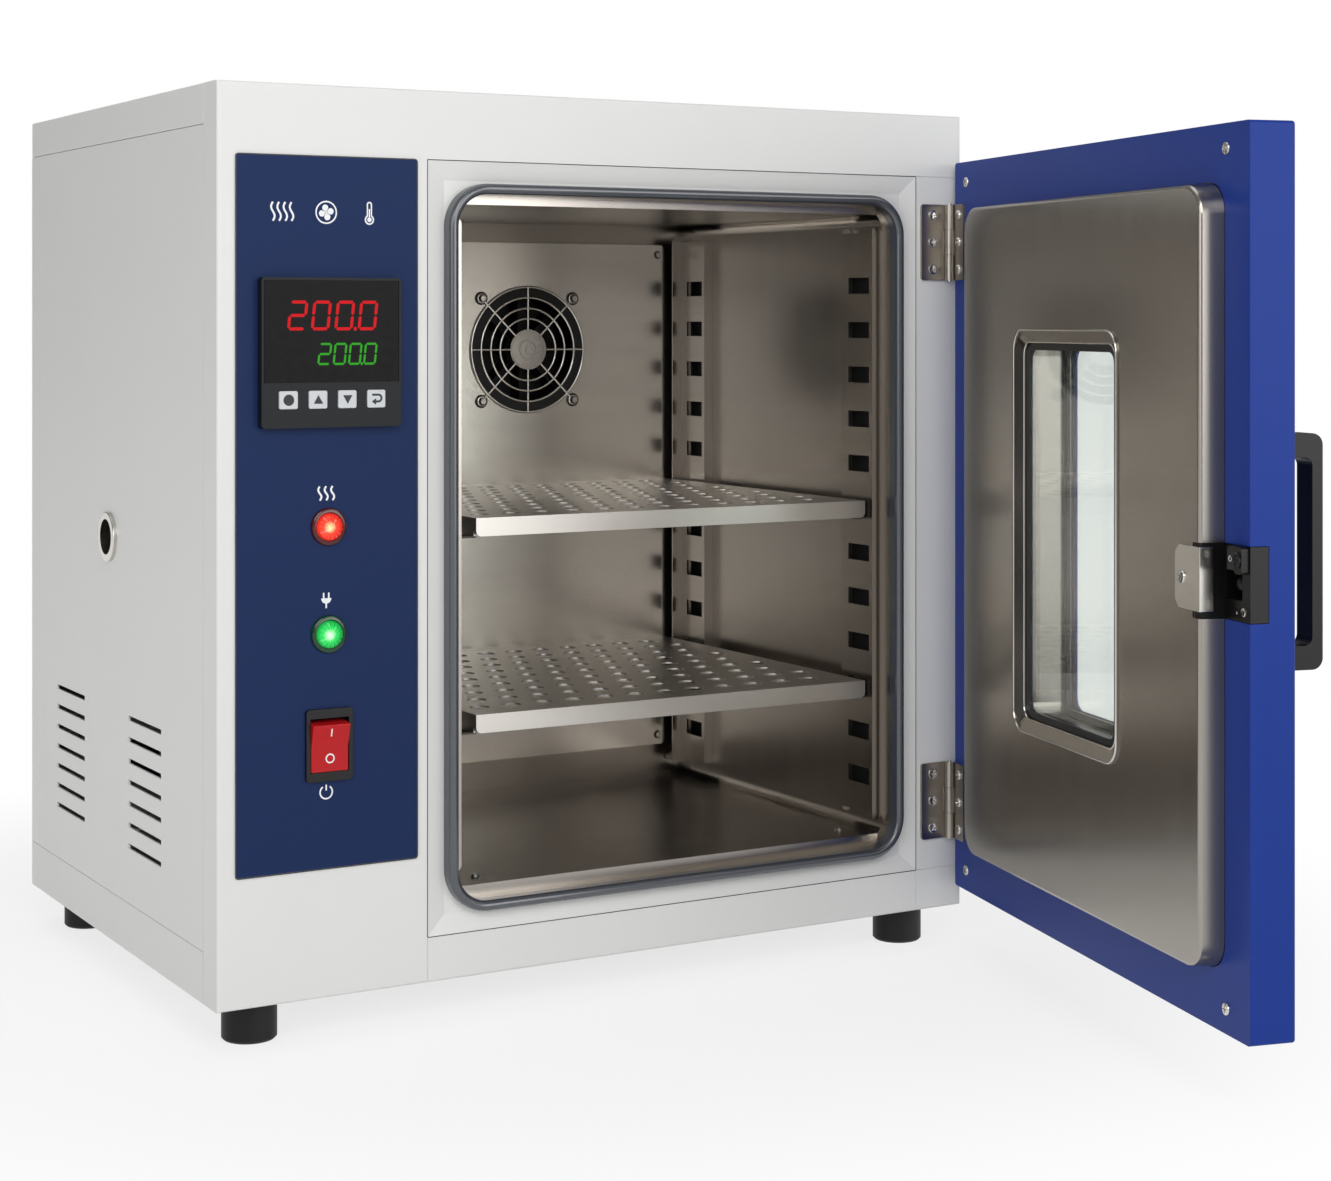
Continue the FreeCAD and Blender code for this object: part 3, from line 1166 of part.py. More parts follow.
def door_insulation():
    """The wool that fills the door between the outer face and the flange."""
    wool = door_block(
        wider(("door_near_edge", FREE), "-door_wall - lagging_gap"),
        (f"{BACK} + door_wall + plug_wall + lagging_gap", f"{FRONT} - door_wall - lagging_gap"),
        wider(("door_bottom", "door_top"), "-door_wall - lagging_gap"))
    face = "plug_proud - door_face_gap - plug_wall - lagging_gap"
    filling = plug_taper("plug_wall + lagging_gap", (f"-{BACK} - door_wall - plug_wall - lagging_gap - overrun", face))
    window = window_opening("lagging_gap", (BACK, FRONT))
    collar = window_opening("lagging_gap", ("-plug_proud", "door_face_gap + 2 * overrun"), "window_collar")
    shanks = [
        rod("-y", door_point(u, BACK, z), "hinge_shank + shank_clearance + fit_gap", "door_hinge_grip + overrun")
        for u, z in door_corner_screws() + door_screw_places()
    ]
    strike = rod("-y", door_point("strike_screw_near", "-plug_proud", STRIKE_UP), "small_head", "door_face_gap + plug_proud")
    heads = [
        rod("+y", door_point(u, FRONT, z), "hinge_head + fit_gap", "hinge_head_height + door_wall + fit_gap")
        for u, z in handle_screw_places()
    ]
    node("door_insulation", on_door, cut(
        fuse(wool, filling), window, collar, *latch_notch("latch_gap + lagging_gap", "door_width"), *shanks, strike, *heads))


def door_window():
    """The window: a stainless frame with a bevelled rim and a sleeve, two panes and their seals."""
    face = "plug_proud - door_face_gap"
    u, z = ("window_near", "window_far"), ("window_bottom", "window_top")
    rim = rounded(door_block(u, (f"-({face}) - window_rim", f"-({face})"), z), "window_corner", along("+y"))
    sleeve = window_opening("0", (f"-({face})", f"{FRONT} - door_wall"))
    collar = window_opening("0", (f"-({face})", f"window_bevel_depth + window_rim - ({face})"), "window_collar")
    bevel = taper(
        ("-window_far + window_bevel", "-window_near - window_bevel"),
        (f"{face} + window_rim - window_bevel_depth", f"{face} + window_rim"),
        ("window_bottom + window_bevel", "window_top - window_bevel"), "-(window_bevel - window_rim)")
    bevel = rounded(bevel, "glass_corner", along("+y"))
    inner = rounded(
        door_block(wider(u, "-window_bevel"), (f"-({face}) - window_rim - overrun", FRONT), wider(z, "-window_bevel")),
        "glass_corner", along("+y"))
    node("window_frame", on_door, cut(fuse(rim, collar, sleeve), bevel, inner))
    clear_u, clear_z = wider(u, "-window_bevel - glass_gap"), wider(z, "-window_bevel - glass_gap")
    seals = []
    for name, depth in (("inner", "-inner_glass"), ("outer", "outer_glass")):
        pane = door_block(clear_u, (depth, f"{depth} + glass_wall"), clear_z)
        node(f"{name}_window_pane", on_door, rounded(pane, "glass_corner", along("+y")))
        bead = (f"{depth} - glass_seal_wall", depth)
        outer = rounded(door_block(clear_u, bead, clear_z), "glass_corner", along("+y"))
        hole = door_block(wider(clear_u, "-glass_seal"), wider(bead, "overrun"), wider(clear_z, "-glass_seal"))
        seals.append(cut(outer, rounded(hole, "seal_bead_corner", along("+y"))))
    node("window_seals", on_door, *seals)


def door_handle():
    """A D-shaped pull on the door's outer face."""
    z = ("handle_bottom", "handle_top")
    body = door_block(("handle_near", "handle_far"), (FRONT, f"{FRONT} + handle_stand"), z)
    outer = -(size("door_face_gap") + size("door_thick") + size("handle_stand"))
    body = rounded(body, "handle_round", lambda e: along("+x")(e) and e.BoundBox.YMax < outer + size("fit_gap"))
    gap = door_block(
        wider(("handle_near", "handle_far"), "overrun"), (f"{FRONT} - overrun", f"{FRONT} + handle_stand - handle_grip"),
        wider(z, "-handle_foot"))
    gap = rounded(gap, "handle_inner_round", lambda e: along("+x")(e) and e.BoundBox.YMax < -size("door_thick") - size("overrun"))
    holes = [
        rod("-y", door_point(u, "door_thick", z), "hinge_shank + shank_clearance", "door_face_gap + hinge_grip")
        for u, z in handle_screw_places()
    ]
    node("door_handle", on_door, cut(body, gap, *holes))


def door_latch():
    """The latch: a moulded body in the free edge, a sprung ball in its well and a folded steel plate."""
    z = ("latch_bottom", "latch_top")
    edge = door_block(
        ("plug_far - latch_gap", FREE), ("door_face_gap + latch_recess", "door_face_gap + latch_side_depth"), z)
    deep = door_block(
        ("latch_near", "door_width - door_wall - latch_gap"), ("door_face_gap + latch_recess", "door_face_gap + latch_depth"), z)
    cheek = door_block(
        ("latch_near", "plug_far - latch_gap"), ("door_face_gap - plug_proud + plug_wall", "door_face_gap + latch_depth"), z)
    lug = door_block(
        ("lug_near", "lug_far"), ("door_face_gap + latch_recess - lug_proud", "door_face_gap + latch_depth"),
        ("lug_bottom", "latch_top"))
    lug = rounded(lug, "leaf_corner", along("+y"))
    well = door_block(
        ("well_near", "well_far"), ("-plug_proud", "door_face_gap + well_depth"), ("well_bottom", "well_top"))
    well = rounded(well, "leaf_corner", along("+y"))
    stem_hole = rod("-y", door_point("ball_near", "0", "ball_up"), "ball_bore", "door_face_gap + latch_depth + overrun")
    body = cut(fuse(edge, deep, cheek, lug), well, stem_hole)
    node("latch_body", on_door, body)
    centre = door_point("ball_near", "ball_depth", "ball_up")
    stem = rod("-y", centre, "ball_stem", "ball_radius + ball_stem_length")
    node("latch_ball", on_door, fuse(ball(centre, "ball_radius"), stem))
    face = "plug_proud - door_face_gap"
    strike_z = ("strike_bottom", "strike_top")
    flat = door_block(("strike_near", "plug_far + strike_wall"), (f"-({face}) - strike_wall", f"-({face})"), strike_z)
    near_corner = -size("strike_near") - size("fit_gap")
    flat = bevelled(flat, "strike_bevel", lambda e: along("+y")(e) and e.BoundBox.XMin > near_corner)
    leg = door_block(("plug_far", "plug_far + strike_wall"), (f"-({face}) - strike_wall", f"-({face}) + strike_leg"), strike_z)
    hole = rod("-y", door_point("strike_screw_near", f"-({face}) - overrun", STRIKE_UP), "small_shank + shank_clearance", "overrun")
    node("latch_plate", on_door, cut(fuse(flat, leg), hole))


def door_screws():
    """The screws on the door: hinge leaves, corners and the latch plate."""
    screws = [
        screw("+y", door_point("door_screw_inset", "door_face_gap - leaf_wall", z), "hinge_head", "hinge_head_height",
              "hinge_shank", "door_hinge_grip")
        for bottom in HINGES.values() for z in hinge_heights(bottom)
    ]
    screws += [
        screw("+y", door_point(u, BACK, z), "hinge_head", "hinge_head_height", "hinge_shank", "door_hinge_grip")
        for u, z in door_corner_screws()
    ]
    screws += [
        screw("+y", door_point(u, f"{FRONT} - door_wall", z), "hinge_head", "hinge_head_height", "hinge_shank", "hinge_grip - overrun")
        for u, z in handle_screw_places()
    ]
    plate_face = "-(plug_proud - door_face_gap) - strike_wall"
    screws.append(screw(
        "+y", door_point("strike_screw_near", plate_face, STRIKE_UP), "hinge_head", "hinge_head_height", "small_shank",
        "small_grip + strike_wall"))
    node("door_screws", on_door, *screws)


# Sizes and heights that follow others, kept in the sheet under names of their own
for name, formula in (
    ("panel_column", "=(panel_left + panel_right) / 2"), ("controller_up", "=panel_top - controller_drop"),
    ("case_size", "=controller_size - 2 * case_inset"), ("display_width", "=controller_size - 2 * display_margin"),
    ("display_up", "=controller_up + display_rise"), ("key_up", "=controller_up - key_drop"),
    ("heater_lamp_up", "=controller_up - controller_size / 2 - heater_lamp_drop"),
    ("mains_lamp_up", "=heater_lamp_up - mains_lamp_drop"), ("switch_up", "=mains_lamp_up - switch_drop"),
    ("throat_corner", "=seal_corner - seal_width"), ("rail_round", "=rail_end - fit_gap / 2"), ("key_round", "=bezel_edge / 2"), ("lamp_round", "=lamp_dome - lamp_seat"),
    ("glass_corner", "=window_corner - window_bevel / 2"),
    ("seal_bead_corner", "=window_corner - window_bevel / 2 - glass_seal / 2"),
):
    row += 1
    sizes.set(f"A{row}", name)
    sizes.set(f"B{row}", formula)
    sizes.setAlias(f"B{row}", name)
    NAMES.add(name)
document.recompute()

for build in (
    front_fascia, side_panels, rear_panel, top_and_base, feet, door_surround, door_gasket, chamber_front_frame,
    inner_chamber, fan_housing, lagging_and_divider, rear_baffle, fan_guard, fan_and_motor, thermometer, shelf_rails, shelf_clips,
    chamber_screws, control_panel, controller, pilot_lamps, power_switch, access_port, rear_fittings, hinges,
    door_shell, door_liner, door_insulation, door_window, door_handle, door_latch, door_screws,
):
    build()
shelf("upper_shelf", "upper_shelf_top")
shelf("lower_shelf", "lower_shelf_top")
document.recompute()

# Every object is checked before anything is written
for thing in document.Objects:
    if "Invalid" in thing.State or "Error" in thing.State:
        raise RuntimeError(f"{thing.Label} ({thing.TypeId}) did not build: {thing.State}")
for part in NODES:
    if part.Shape.isNull() or not part.Shape.isValid() or not part.Shape.Solids:
        raise RuntimeError(f"{part.Label} has no valid shape")

os.makedirs("parts", exist_ok=True)
for part in NODES:
    part.Shape.exportStep(os.path.join("parts", f"{part.Label}.step"))
print(len(NODES), "sub-parts")
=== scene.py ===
# Bench hot-air sterilizer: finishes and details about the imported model, metres, +Z up, door side facing -Y
import math

import bmesh
import bpy
from mathutils import Matrix, Vector
from mathutils.bvhtree import BVHTree


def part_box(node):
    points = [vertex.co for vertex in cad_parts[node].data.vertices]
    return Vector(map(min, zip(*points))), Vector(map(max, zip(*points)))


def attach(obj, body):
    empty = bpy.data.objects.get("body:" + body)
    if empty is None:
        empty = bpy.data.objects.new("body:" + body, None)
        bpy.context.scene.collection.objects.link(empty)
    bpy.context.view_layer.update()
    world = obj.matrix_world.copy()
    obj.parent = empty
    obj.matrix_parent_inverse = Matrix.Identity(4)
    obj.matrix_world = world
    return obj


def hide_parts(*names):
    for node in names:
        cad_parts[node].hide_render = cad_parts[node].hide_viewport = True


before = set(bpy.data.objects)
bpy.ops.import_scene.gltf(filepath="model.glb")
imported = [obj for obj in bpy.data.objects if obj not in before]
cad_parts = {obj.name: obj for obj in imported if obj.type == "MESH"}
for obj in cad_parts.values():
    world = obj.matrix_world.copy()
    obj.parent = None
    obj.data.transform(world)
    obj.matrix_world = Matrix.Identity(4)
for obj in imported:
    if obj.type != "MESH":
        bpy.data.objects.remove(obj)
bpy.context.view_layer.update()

MM = 0.001
BODY = Vector((-290 * MM, -207 * MM, 28 * MM))
HINGE = BODY + Vector((567 * MM, -4 * MM, 0))
DOOR_REST = math.radians(76.4)

# Two frames in millimetres: the cabinet's from its front lower left corner, and the door's from its pin,
# along the door towards its handle, outwards and up
CABINET = Matrix.Translation(BODY) @ Matrix.Scale(MM, 4)
DOOR = Matrix.Translation(HINGE) @ Matrix.Rotation(DOOR_REST, 4, "Z") @ Matrix.Diagonal((-MM, -MM, MM, 1))

# Turns a shape that is made on the XY plane, facing up, to face the camera's side of either frame
TO_FRONT = Matrix.Rotation(math.radians(90), 4, "X")
AS_MADE = Matrix.Identity(4)

# The lamps' places on the control panel, in the cabinet's millimetres
LAMPS_ACROSS = 73
HEATER_LAMP_UP = 303
MAINS_LAMP_UP = 234

# How thick a printed sign is, and how far ink and thin lines stand off the face under them, in millimetres
PRINT = 0.1
INK_LIFT = 0.02
LINE_LIFT = 0.03


# Materials


def linear(code):
    """An sRGB hex colour as linear light."""
    parts = [int(code[i:i + 2], 16) / 255 for i in (1, 3, 5)]
    return [p / 12.92 if p <= 0.04045 else ((p + 0.055) / 1.055) ** 2.4 for p in parts] + [1.0]


def add(tree, kind, sockets=None, **settings):
    """Adds one shader node with its settings; a socket takes a value or another node's output."""
    made = tree.nodes.new(f"ShaderNode{kind}")
    for name, value in settings.items():
        setattr(made, name, value)
    for name, value in (sockets or {}).items():
        if isinstance(value, bpy.types.NodeSocket):
            tree.links.new(value, made.inputs[name])
        else:
            made.inputs[name].default_value = value
    return made


def blank(name):
    """A material with an empty tree and its output node."""
    material = bpy.data.materials.new(name)
    material.use_nodes = True
    material.node_tree.nodes.clear()
    return material, material.node_tree, add(material.node_tree, "OutputMaterial")


def pattern(tree, size, stretch=(1, 1, 1), detail=2.0):
    """Noise on object coordinates whose cell is a size in millimetres, drawn out along an axis."""
    place = add(tree, "TexCoord")
    scale = [1 / (size * MM * s) for s in stretch]
    where = add(tree, "Mapping", {"Vector": place.outputs["Object"], "Scale": scale})
    return add(tree, "TexNoise", {"Vector": where.outputs[0], "Scale": 1.0, "Detail": detail}).outputs["Fac"]


# Noise seldom leaves this part of 0 to 1
NOISE_LOW, NOISE_HIGH = 0.3, 0.7


def spread(tree, value, low, high):
    """Maps noise to a range."""
    mapped = add(tree, "MapRange", {
        "Value": value, "From Min": NOISE_LOW, "From Max": NOISE_HIGH, "To Min": low, "To Max": high})
    return mapped.outputs[0]


def tinted(tree, value, colour, darker, lighter):
    """A colour that wanders a little about its own value."""
    ramp = add(tree, "ValToRGB", {"Fac": value})
    for stop, place, gain in zip(ramp.color_ramp.elements, (NOISE_LOW, NOISE_HIGH), (darker, lighter)):
        stop.position = place
        stop.color = [c * gain for c in linear(colour)[:3]] + [1]
    return ramp.outputs["Color"]


def enamel(name, colour, rough, peel, gloss=0.5):
    """Powder coat baked on sheet steel: even colour, a soft sheen and the fine ripple of orange peel."""
    material, tree, out = blank(name)
    blotch = pattern(tree, 60, detail=1.0)
    ripple = pattern(tree, 1.1, detail=3.0)
    bump = add(tree, "Bump", {"Height": ripple, "Strength": peel, "Distance": 0.05 * MM})
    surface = add(tree, "BsdfPrincipled", {
        "Base Color": tinted(tree, blotch, colour, 0.994, 1.006),
        "Roughness": spread(tree, ripple, rough - 0.04, rough + 0.04),
        "IOR": 1.5, "Specular IOR Level": gloss, "Normal": bump.outputs[0]})
    tree.links.new(surface.outputs[0], out.inputs["Surface"])
    return material


def brushed_steel(name, colour, rough, grain, depth, smear=0.012):
    """Stainless sheet finished with a belt: fine scratch lines along one axis, drawn 1.2 mm wide so that they
    show, and broad soft streaks where the belt pressed harder."""
    material, tree, out = blank(name)
    lines = pattern(tree, 1.2, grain, detail=1.0)
    streaks = pattern(tree, 18, [1 if g == 1 else 10 for g in grain], detail=1.0)
    wear = add(tree, "Mix", {"Factor": 0.6, "A": lines, "B": streaks}, data_type="FLOAT")
    bump = add(tree, "Bump", {"Height": lines, "Strength": depth, "Distance": 0.02 * MM})
    surface = add(tree, "BsdfPrincipled", {
        "Base Color": tinted(tree, wear.outputs[0], colour, 0.985, 1.015),
        "Metallic": 1.0, "Roughness": spread(tree, streaks, rough - smear, rough + smear),
        "Normal": bump.outputs[0]})
    tree.links.new(surface.outputs[0], out.inputs["Surface"])
    return material


def polished(name, colour, rough):
    """Turned or stamped bright metal with faint handling marks."""
    material, tree, out = blank(name)
    marks = pattern(tree, 3.0, detail=4.0)
    surface = add(tree, "BsdfPrincipled", {
        "Base Color": tinted(tree, marks, colour, 0.94, 1.04), "Metallic": 1.0,
        "Roughness": spread(tree, marks, rough * 0.75, rough * 1.3)})
    tree.links.new(surface.outputs[0], out.inputs["Surface"])
    return material


def moulded(name, colour, rough, grain=0.6, depth=0.3, shade=0.1, distance=0.05, gloss=0.5):
    """A skin from a mould, in plastic, rubber or cast metal: an even grain and a slight wander of colour."""
    material, tree, out = blank(name)
    skin = pattern(tree, grain, detail=3.0)
    bump = add(tree, "Bump", {"Height": skin, "Strength": depth, "Distance": distance * MM})
    surface = add(tree, "BsdfPrincipled", {
        "Base Color": tinted(tree, skin, colour, 1 - shade, 1 + shade),
        "Roughness": spread(tree, skin, rough - 0.05, rough + 0.05), "IOR": 1.5, "Specular IOR Level": gloss,
        "Normal": bump.outputs[0]})
    tree.links.new(surface.outputs[0], out.inputs["Surface"])
    return material


def lit_segment(name, colour):
    """A display segment lit from inside: even colour with hardly any surface of its own."""
    material, tree, out = blank(name)
    speck = pattern(tree, 0.8, detail=1.0)
    surface = add(tree, "BsdfPrincipled", {
        "Base Color": tinted(tree, speck, colour, 0.12, 0.16), "Roughness": 0.4,
        "Emission Color": linear(colour), "Emission Strength": 0.85, "Specular IOR Level": 0.1})
    tree.links.new(surface.outputs[0], out.inputs["Surface"])
    return material


def ink(name, colour):
    """Screen-printed ink: flat colour, slightly matt, with a faint mesh texture."""
    material, tree, out = blank(name)
    mesh = pattern(tree, 0.4, detail=1.0)
    surface = add(tree, "BsdfPrincipled", {
        "Base Color": tinted(tree, mesh, colour, 0.96, 1.03), "Roughness": spread(tree, mesh, 0.45, 0.55)})
    tree.links.new(surface.outputs[0], out.inputs["Surface"])
    return material


def lamp_lens(name, up, edge, middle, hot, strength):
    """Moulded acrylic lens over a lit diode: a hot spot that fades to the lens's own colour, under a gloss.
    The spot's edge wanders a little, as the facets break it up."""
    spot, rim, wandering = 1.0 * MM, 10.5 * MM, 0.9 * MM
    centre = CABINET @ Vector((LAMPS_ACROSS, -6, up))
    material, tree, out = blank(name)
    place = add(tree, "TexCoord")
    moved = add(tree, "Mapping", {"Vector": place.outputs["Object"], "Location": tuple(-c for c in centre)})
    away = add(tree, "VectorMath", {0: moved.outputs[0]}, operation="LENGTH")
    facets = pattern(tree, 1.6, detail=2.0)
    wander = add(tree, "MapRange", {"Value": facets, "To Min": -wandering, "To Max": wandering})
    distance = add(tree, "Math", {0: away.outputs["Value"], 1: wander.outputs[0]}, operation="ADD")
    share = add(tree, "MapRange", {"Value": distance.outputs[0], "From Min": spot, "From Max": rim})
    ramp = add(tree, "ValToRGB", {"Fac": share.outputs[0]})
    ramp.color_ramp.elements[0].color = linear(hot)
    ramp.color_ramp.elements[1].color = linear(edge)
    ramp.color_ramp.elements.new(0.36).color = linear(middle)
    surface = add(tree, "BsdfPrincipled", {
        "Base Color": ramp.outputs["Color"], "Roughness": 0.12, "IOR": 1.49,
        "Emission Color": ramp.outputs["Color"], "Emission Strength": strength})
    tree.links.new(surface.outputs[0], out.inputs["Surface"])
    return material


def clear_glass(name, colour):
    """Tempered float glass, faintly green."""
    material, tree, out = blank(name)
    film = pattern(tree, 40, detail=1.0)
    surface = add(tree, "BsdfPrincipled", {
        "Base Color": linear(colour), "Roughness": spread(tree, film, 0.0, 0.02), "IOR": 1.5,
        "Transmission Weight": 1.0})
    tree.links.new(surface.outputs[0], out.inputs["Surface"])
    return material


CABINET_ENAMEL = enamel("off_white_powder_coat", "#DFDFDD", 0.42, 0.22)
PANEL_ENAMEL = enamel("navy_powder_coat", "#182A52", 0.45, 0.2, gloss=0.12)
DOOR_ENAMEL = enamel("blue_powder_coat", "#1B3789", 0.34, 0.2, gloss=0.14)
STEEL_UP = brushed_steel("vertical_brushed_stainless", "#A49E97", 0.26, (1, 1, 60), depth=0.008)
STEEL_ACROSS = brushed_steel("horizontal_brushed_stainless", "#DCD8D1", 0.22, (60, 1, 1), depth=0.015)
SHELF_STEEL = brushed_steel("shelf_sheet_stainless", "#C6C2BC", 0.33, (60, 1, 1), depth=0.01)
LINER_STEEL = brushed_steel("door_liner_stainless", "#A19C95", 0.24, (1, 1, 60), depth=0.015)
BRIGHT_STEEL = brushed_steel("stamped_stainless", "#CFCCC6", 0.2, (1, 1, 20), depth=0.02, smear=0.02)
HINGE_STEEL = brushed_steel("hinge_leaf_stainless", "#A09A92", 0.3, (1, 1, 20), depth=0.02, smear=0.02)
SCREW_STEEL = polished("turned_screw_steel", "#D5D3CF", 0.18)
ZINC = polished("zinc_plate", "#A9ABAE", 0.35)
DARK_STEEL = polished("oven_darkened_steel", "#4A4642", 0.42)
CAST_ALUMINIUM = moulded("cast_aluminium", "#7C7C7C", 0.5)
SEAL_RUBBER = moulded("silicone_seal", "#3E4249", 0.22, 1.2, 0.05, gloss=1.0)
# Black rubber of the window seals; the same black draws the painted shade in the panel and surround joints
BLACK_SEAL_AND_JOINT_SHADE = moulded("black_window_seal_and_joint_shade", "#15161A", 0.4, 1.0, 0.15)
FOOT_RUBBER = moulded("black_rubber", "#0A0A0B", 0.5, gloss=0.3)
BLACK_PLASTIC = moulded("textured_black_nylon", "#0B0B0C", 0.34, gloss=0.3)
# Black of the fan impeller and the lamp bodies; on the sheets behind the rail slots and the ring behind the
# fan guard this black is painted shade
BLACK_FAN_AND_SHADE = moulded("black_fan_and_painted_shade", "#0B0B0C", 0.6, 0.8)
CASE_PLASTIC = moulded("controller_abs", "#15181B", 0.36, 0.5, gloss=0.16)
KEY_PLASTIC = moulded("light_grey_key_caps", "#C9CCCF", 0.4, 0.5, 0.15, shade=0.03)
DISPLAY = moulded("smoked_display_window", "#050507", 0.12, 6, 0.02, gloss=0.06)
ROCKER = moulded("glossy_red_rocker", "#B9181D", 0.2, 4, 0.03, shade=0.04, gloss=0.25)
RED_RING = moulded("dark_red_acrylic", "#4A0C0A", 0.16, 4, 0.03)
GREEN_RING = moulded("dark_green_acrylic", "#0C3A1C", 0.12, 4, 0.03)
RED_SEGMENT = lit_segment("red_display_segment", "#D3121A")
GREEN_SEGMENT = lit_segment("green_display_segment", "#2FA41E")
WHITE_INK = ink("white_screen_print", "#EDEFF2")
BLACK_INK = ink("black_screen_print", "#101114")
WOOL = moulded("mineral_wool", "#B9A978", 0.9, 2.5, 1.0, shade=0.25, distance=1.0)
GLASS = clear_glass("tempered_glass", "#F8FCFA")
HEAT_TINTED = polished("heat_tinted_sheath", "#6B625A", 0.35)
HEATER_LENS = lamp_lens("lit_red_lens", HEATER_LAMP_UP, "#A81510", "#EE3A22", "#FFD9A0", 0.62)
MAINS_LENS = lamp_lens("lit_green_lens", MAINS_LAMP_UP, "#087A2C", "#22C255", "#D9FFD6", 0.6)

FINISHES = {
    CABINET_ENAMEL:
        "front_fascia door_surround left_side_panel right_side_panel rear_panel top_cover base_pan",
    PANEL_ENAMEL: "control_panel",
    DOOR_ENAMEL: "door_outer_shell",
    STEEL_UP: "left_shelf_rails right_shelf_rails inner_chamber chamber_front_frame",
    STEEL_ACROSS: "rear_baffle_plate",
    SHELF_STEEL: "upper_shelf lower_shelf",
    DARK_STEEL: "shelf_clips fan_housing",
    LINER_STEEL: "door_liner window_frame",
    BRIGHT_STEEL: "latch_plate port_liner temperature_probe fan_guard",
    HINGE_STEEL: "upper_hinge_frame_leaf lower_hinge_frame_leaf upper_hinge_door_leaf lower_hinge_door_leaf",
    ZINC: "divider_panel foot_bolts",
    SCREW_STEEL: "chamber_screws frame_hinge_screws door_screws hinge_pins",
    SEAL_RUBBER: "door_gasket",
    BLACK_SEAL_AND_JOINT_SHADE: "window_seals",
    FOOT_RUBBER: "feet",
    WOOL: "chamber_insulation door_insulation",
    BLACK_PLASTIC: "door_handle latch_body latch_ball switch_body power_inlet heater_relay",
    CASE_PLASTIC: "controller_case",
    DISPLAY: "controller_window",
    KEY_PLASTIC: "circle_key up_key down_key return_key",
    HEATER_LENS: "heater_lamp_lens",
    MAINS_LENS: "mains_lamp_lens",
    ROCKER: "power_rocker",
    GLASS: "inner_window_pane outer_window_pane",
    CAST_ALUMINIUM: "fan_motor",
    BLACK_FAN_AND_SHADE: "fan_impeller lamp_bodies",
    HEAT_TINTED: "heater_element",
}
for finish, names in FINISHES.items():
    for name in names.split():
        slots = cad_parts[name].data.materials
        if not slots:
            slots.append(finish)
        for i in range(len(slots)):
            slots[i] = finish

# Making pieces


def turned(profile, steps=32):
    """A piece turned about +Z from its half outline of (radius, height) points."""
    shape = bmesh.new()
    line = [shape.verts.new((r, 0, h)) for r, h in profile]
    edges = [shape.edges.new(pair) for pair in zip(line, line[1:])]
    bmesh.ops.spin(shape, geom=line + edges, cent=(0, 0, 0), axis=(0, 0, 1), angle=math.tau, steps=steps,
                   use_merge=True)
    bmesh.ops.remove_doubles(shape, verts=shape.verts, dist=0.0005)
    bmesh.ops.recalc_face_normals(shape, faces=shape.faces)
    return shape


def disc(radius, steps, thick=PRINT):
    """A flat disc on the XY plane."""
    return turned([(0, 0), (radius, 0), (radius, thick), (0, thick)], steps)


def cut_plate(outline, thick=PRINT):
    """A flat plate cut to an outline on the XY plane."""
    shape = bmesh.new()
    face = shape.faces.new([shape.verts.new((x, y, 0)) for x, y in outline])
    raised = bmesh.ops.extrude_face_region(shape, geom=[face])["geom"]
    upper = [v for v in raised if isinstance(v, bmesh.types.BMVert)]
    bmesh.ops.translate(shape, verts=upper, vec=(0, 0, thick))
    bmesh.ops.recalc_face_normals(shape, faces=shape.faces)
    return shape


def rectangle(left, bottom, right, top):
    """A rectangle's outline."""
    return [(left, bottom), (right, bottom), (right, top), (left, top)]


def stroke(points, width, thick=0.12, closed=False):
    """A drawn line of even width on the XY plane, flattened to a print's thickness."""
    curve = bpy.data.curves.new("stroke", "CURVE")
    curve.dimensions = "3D"
    curve.bevel_depth = width / 2
    curve.bevel_resolution = 2
    curve.use_fill_caps = True
    line = curve.splines.new("POLY")
    line.points.add(len(points) - 1)
    for point, (x, y) in zip(line.points, points):
        point.co = (x, y, 0, 1)
    line.use_cyclic_u = closed
    drawn = bpy.data.objects.new("stroke", curve)
    mesh = bpy.data.meshes.new_from_object(drawn)
    shape = bmesh.new()
    shape.from_mesh(mesh)
    bmesh.ops.scale(shape, vec=(1, 1, thick / width), verts=shape.verts)
    bpy.data.objects.remove(drawn)
    bpy.data.curves.remove(curve)
    bpy.data.meshes.remove(mesh)
    return shape


def arc(centre, radius, start, end, steps=24):
    """Points on an arc, by angles in degrees."""
    angles = [math.radians(start + (end - start) * i / steps) for i in range(steps + 1)]
    return [(centre[0] + radius * math.cos(a), centre[1] + radius * math.sin(a)) for a in angles]


def round_cornered(low, high, corner):
    """A rounded rectangle's outline from its low and high corners."""
    left, right = low[0] + corner, high[0] - corner
    bottom, top = low[1] + corner, high[1] - corner
    outline = []
    for k, middle in enumerate(((right, bottom), (right, top), (left, top), (left, bottom))):
        outline += arc(middle, corner, 90 * k - 90, 90 * k, 8)
    return outline


def gathered(shapes):
    """Several shapes, each with its own place, as one; the shapes are used up."""
    whole = bmesh.new()
    for shape, place in shapes:
        bmesh.ops.transform(shape, matrix=place, verts=shape.verts)
        mesh = bpy.data.meshes.new("part")
        shape.to_mesh(mesh)
        shape.free()
        whole.from_mesh(mesh)
        bpy.data.meshes.remove(mesh)
    return whole


def at(x, y, z, turn=AS_MADE):
    """A place in a frame, with the way that the shape faces there."""
    return Matrix.Translation((x, y, z)) @ turn


def reach(node):
    """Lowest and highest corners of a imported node, in the cabinet's millimetres."""
    return [CABINET.inverted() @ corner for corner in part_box(node)]


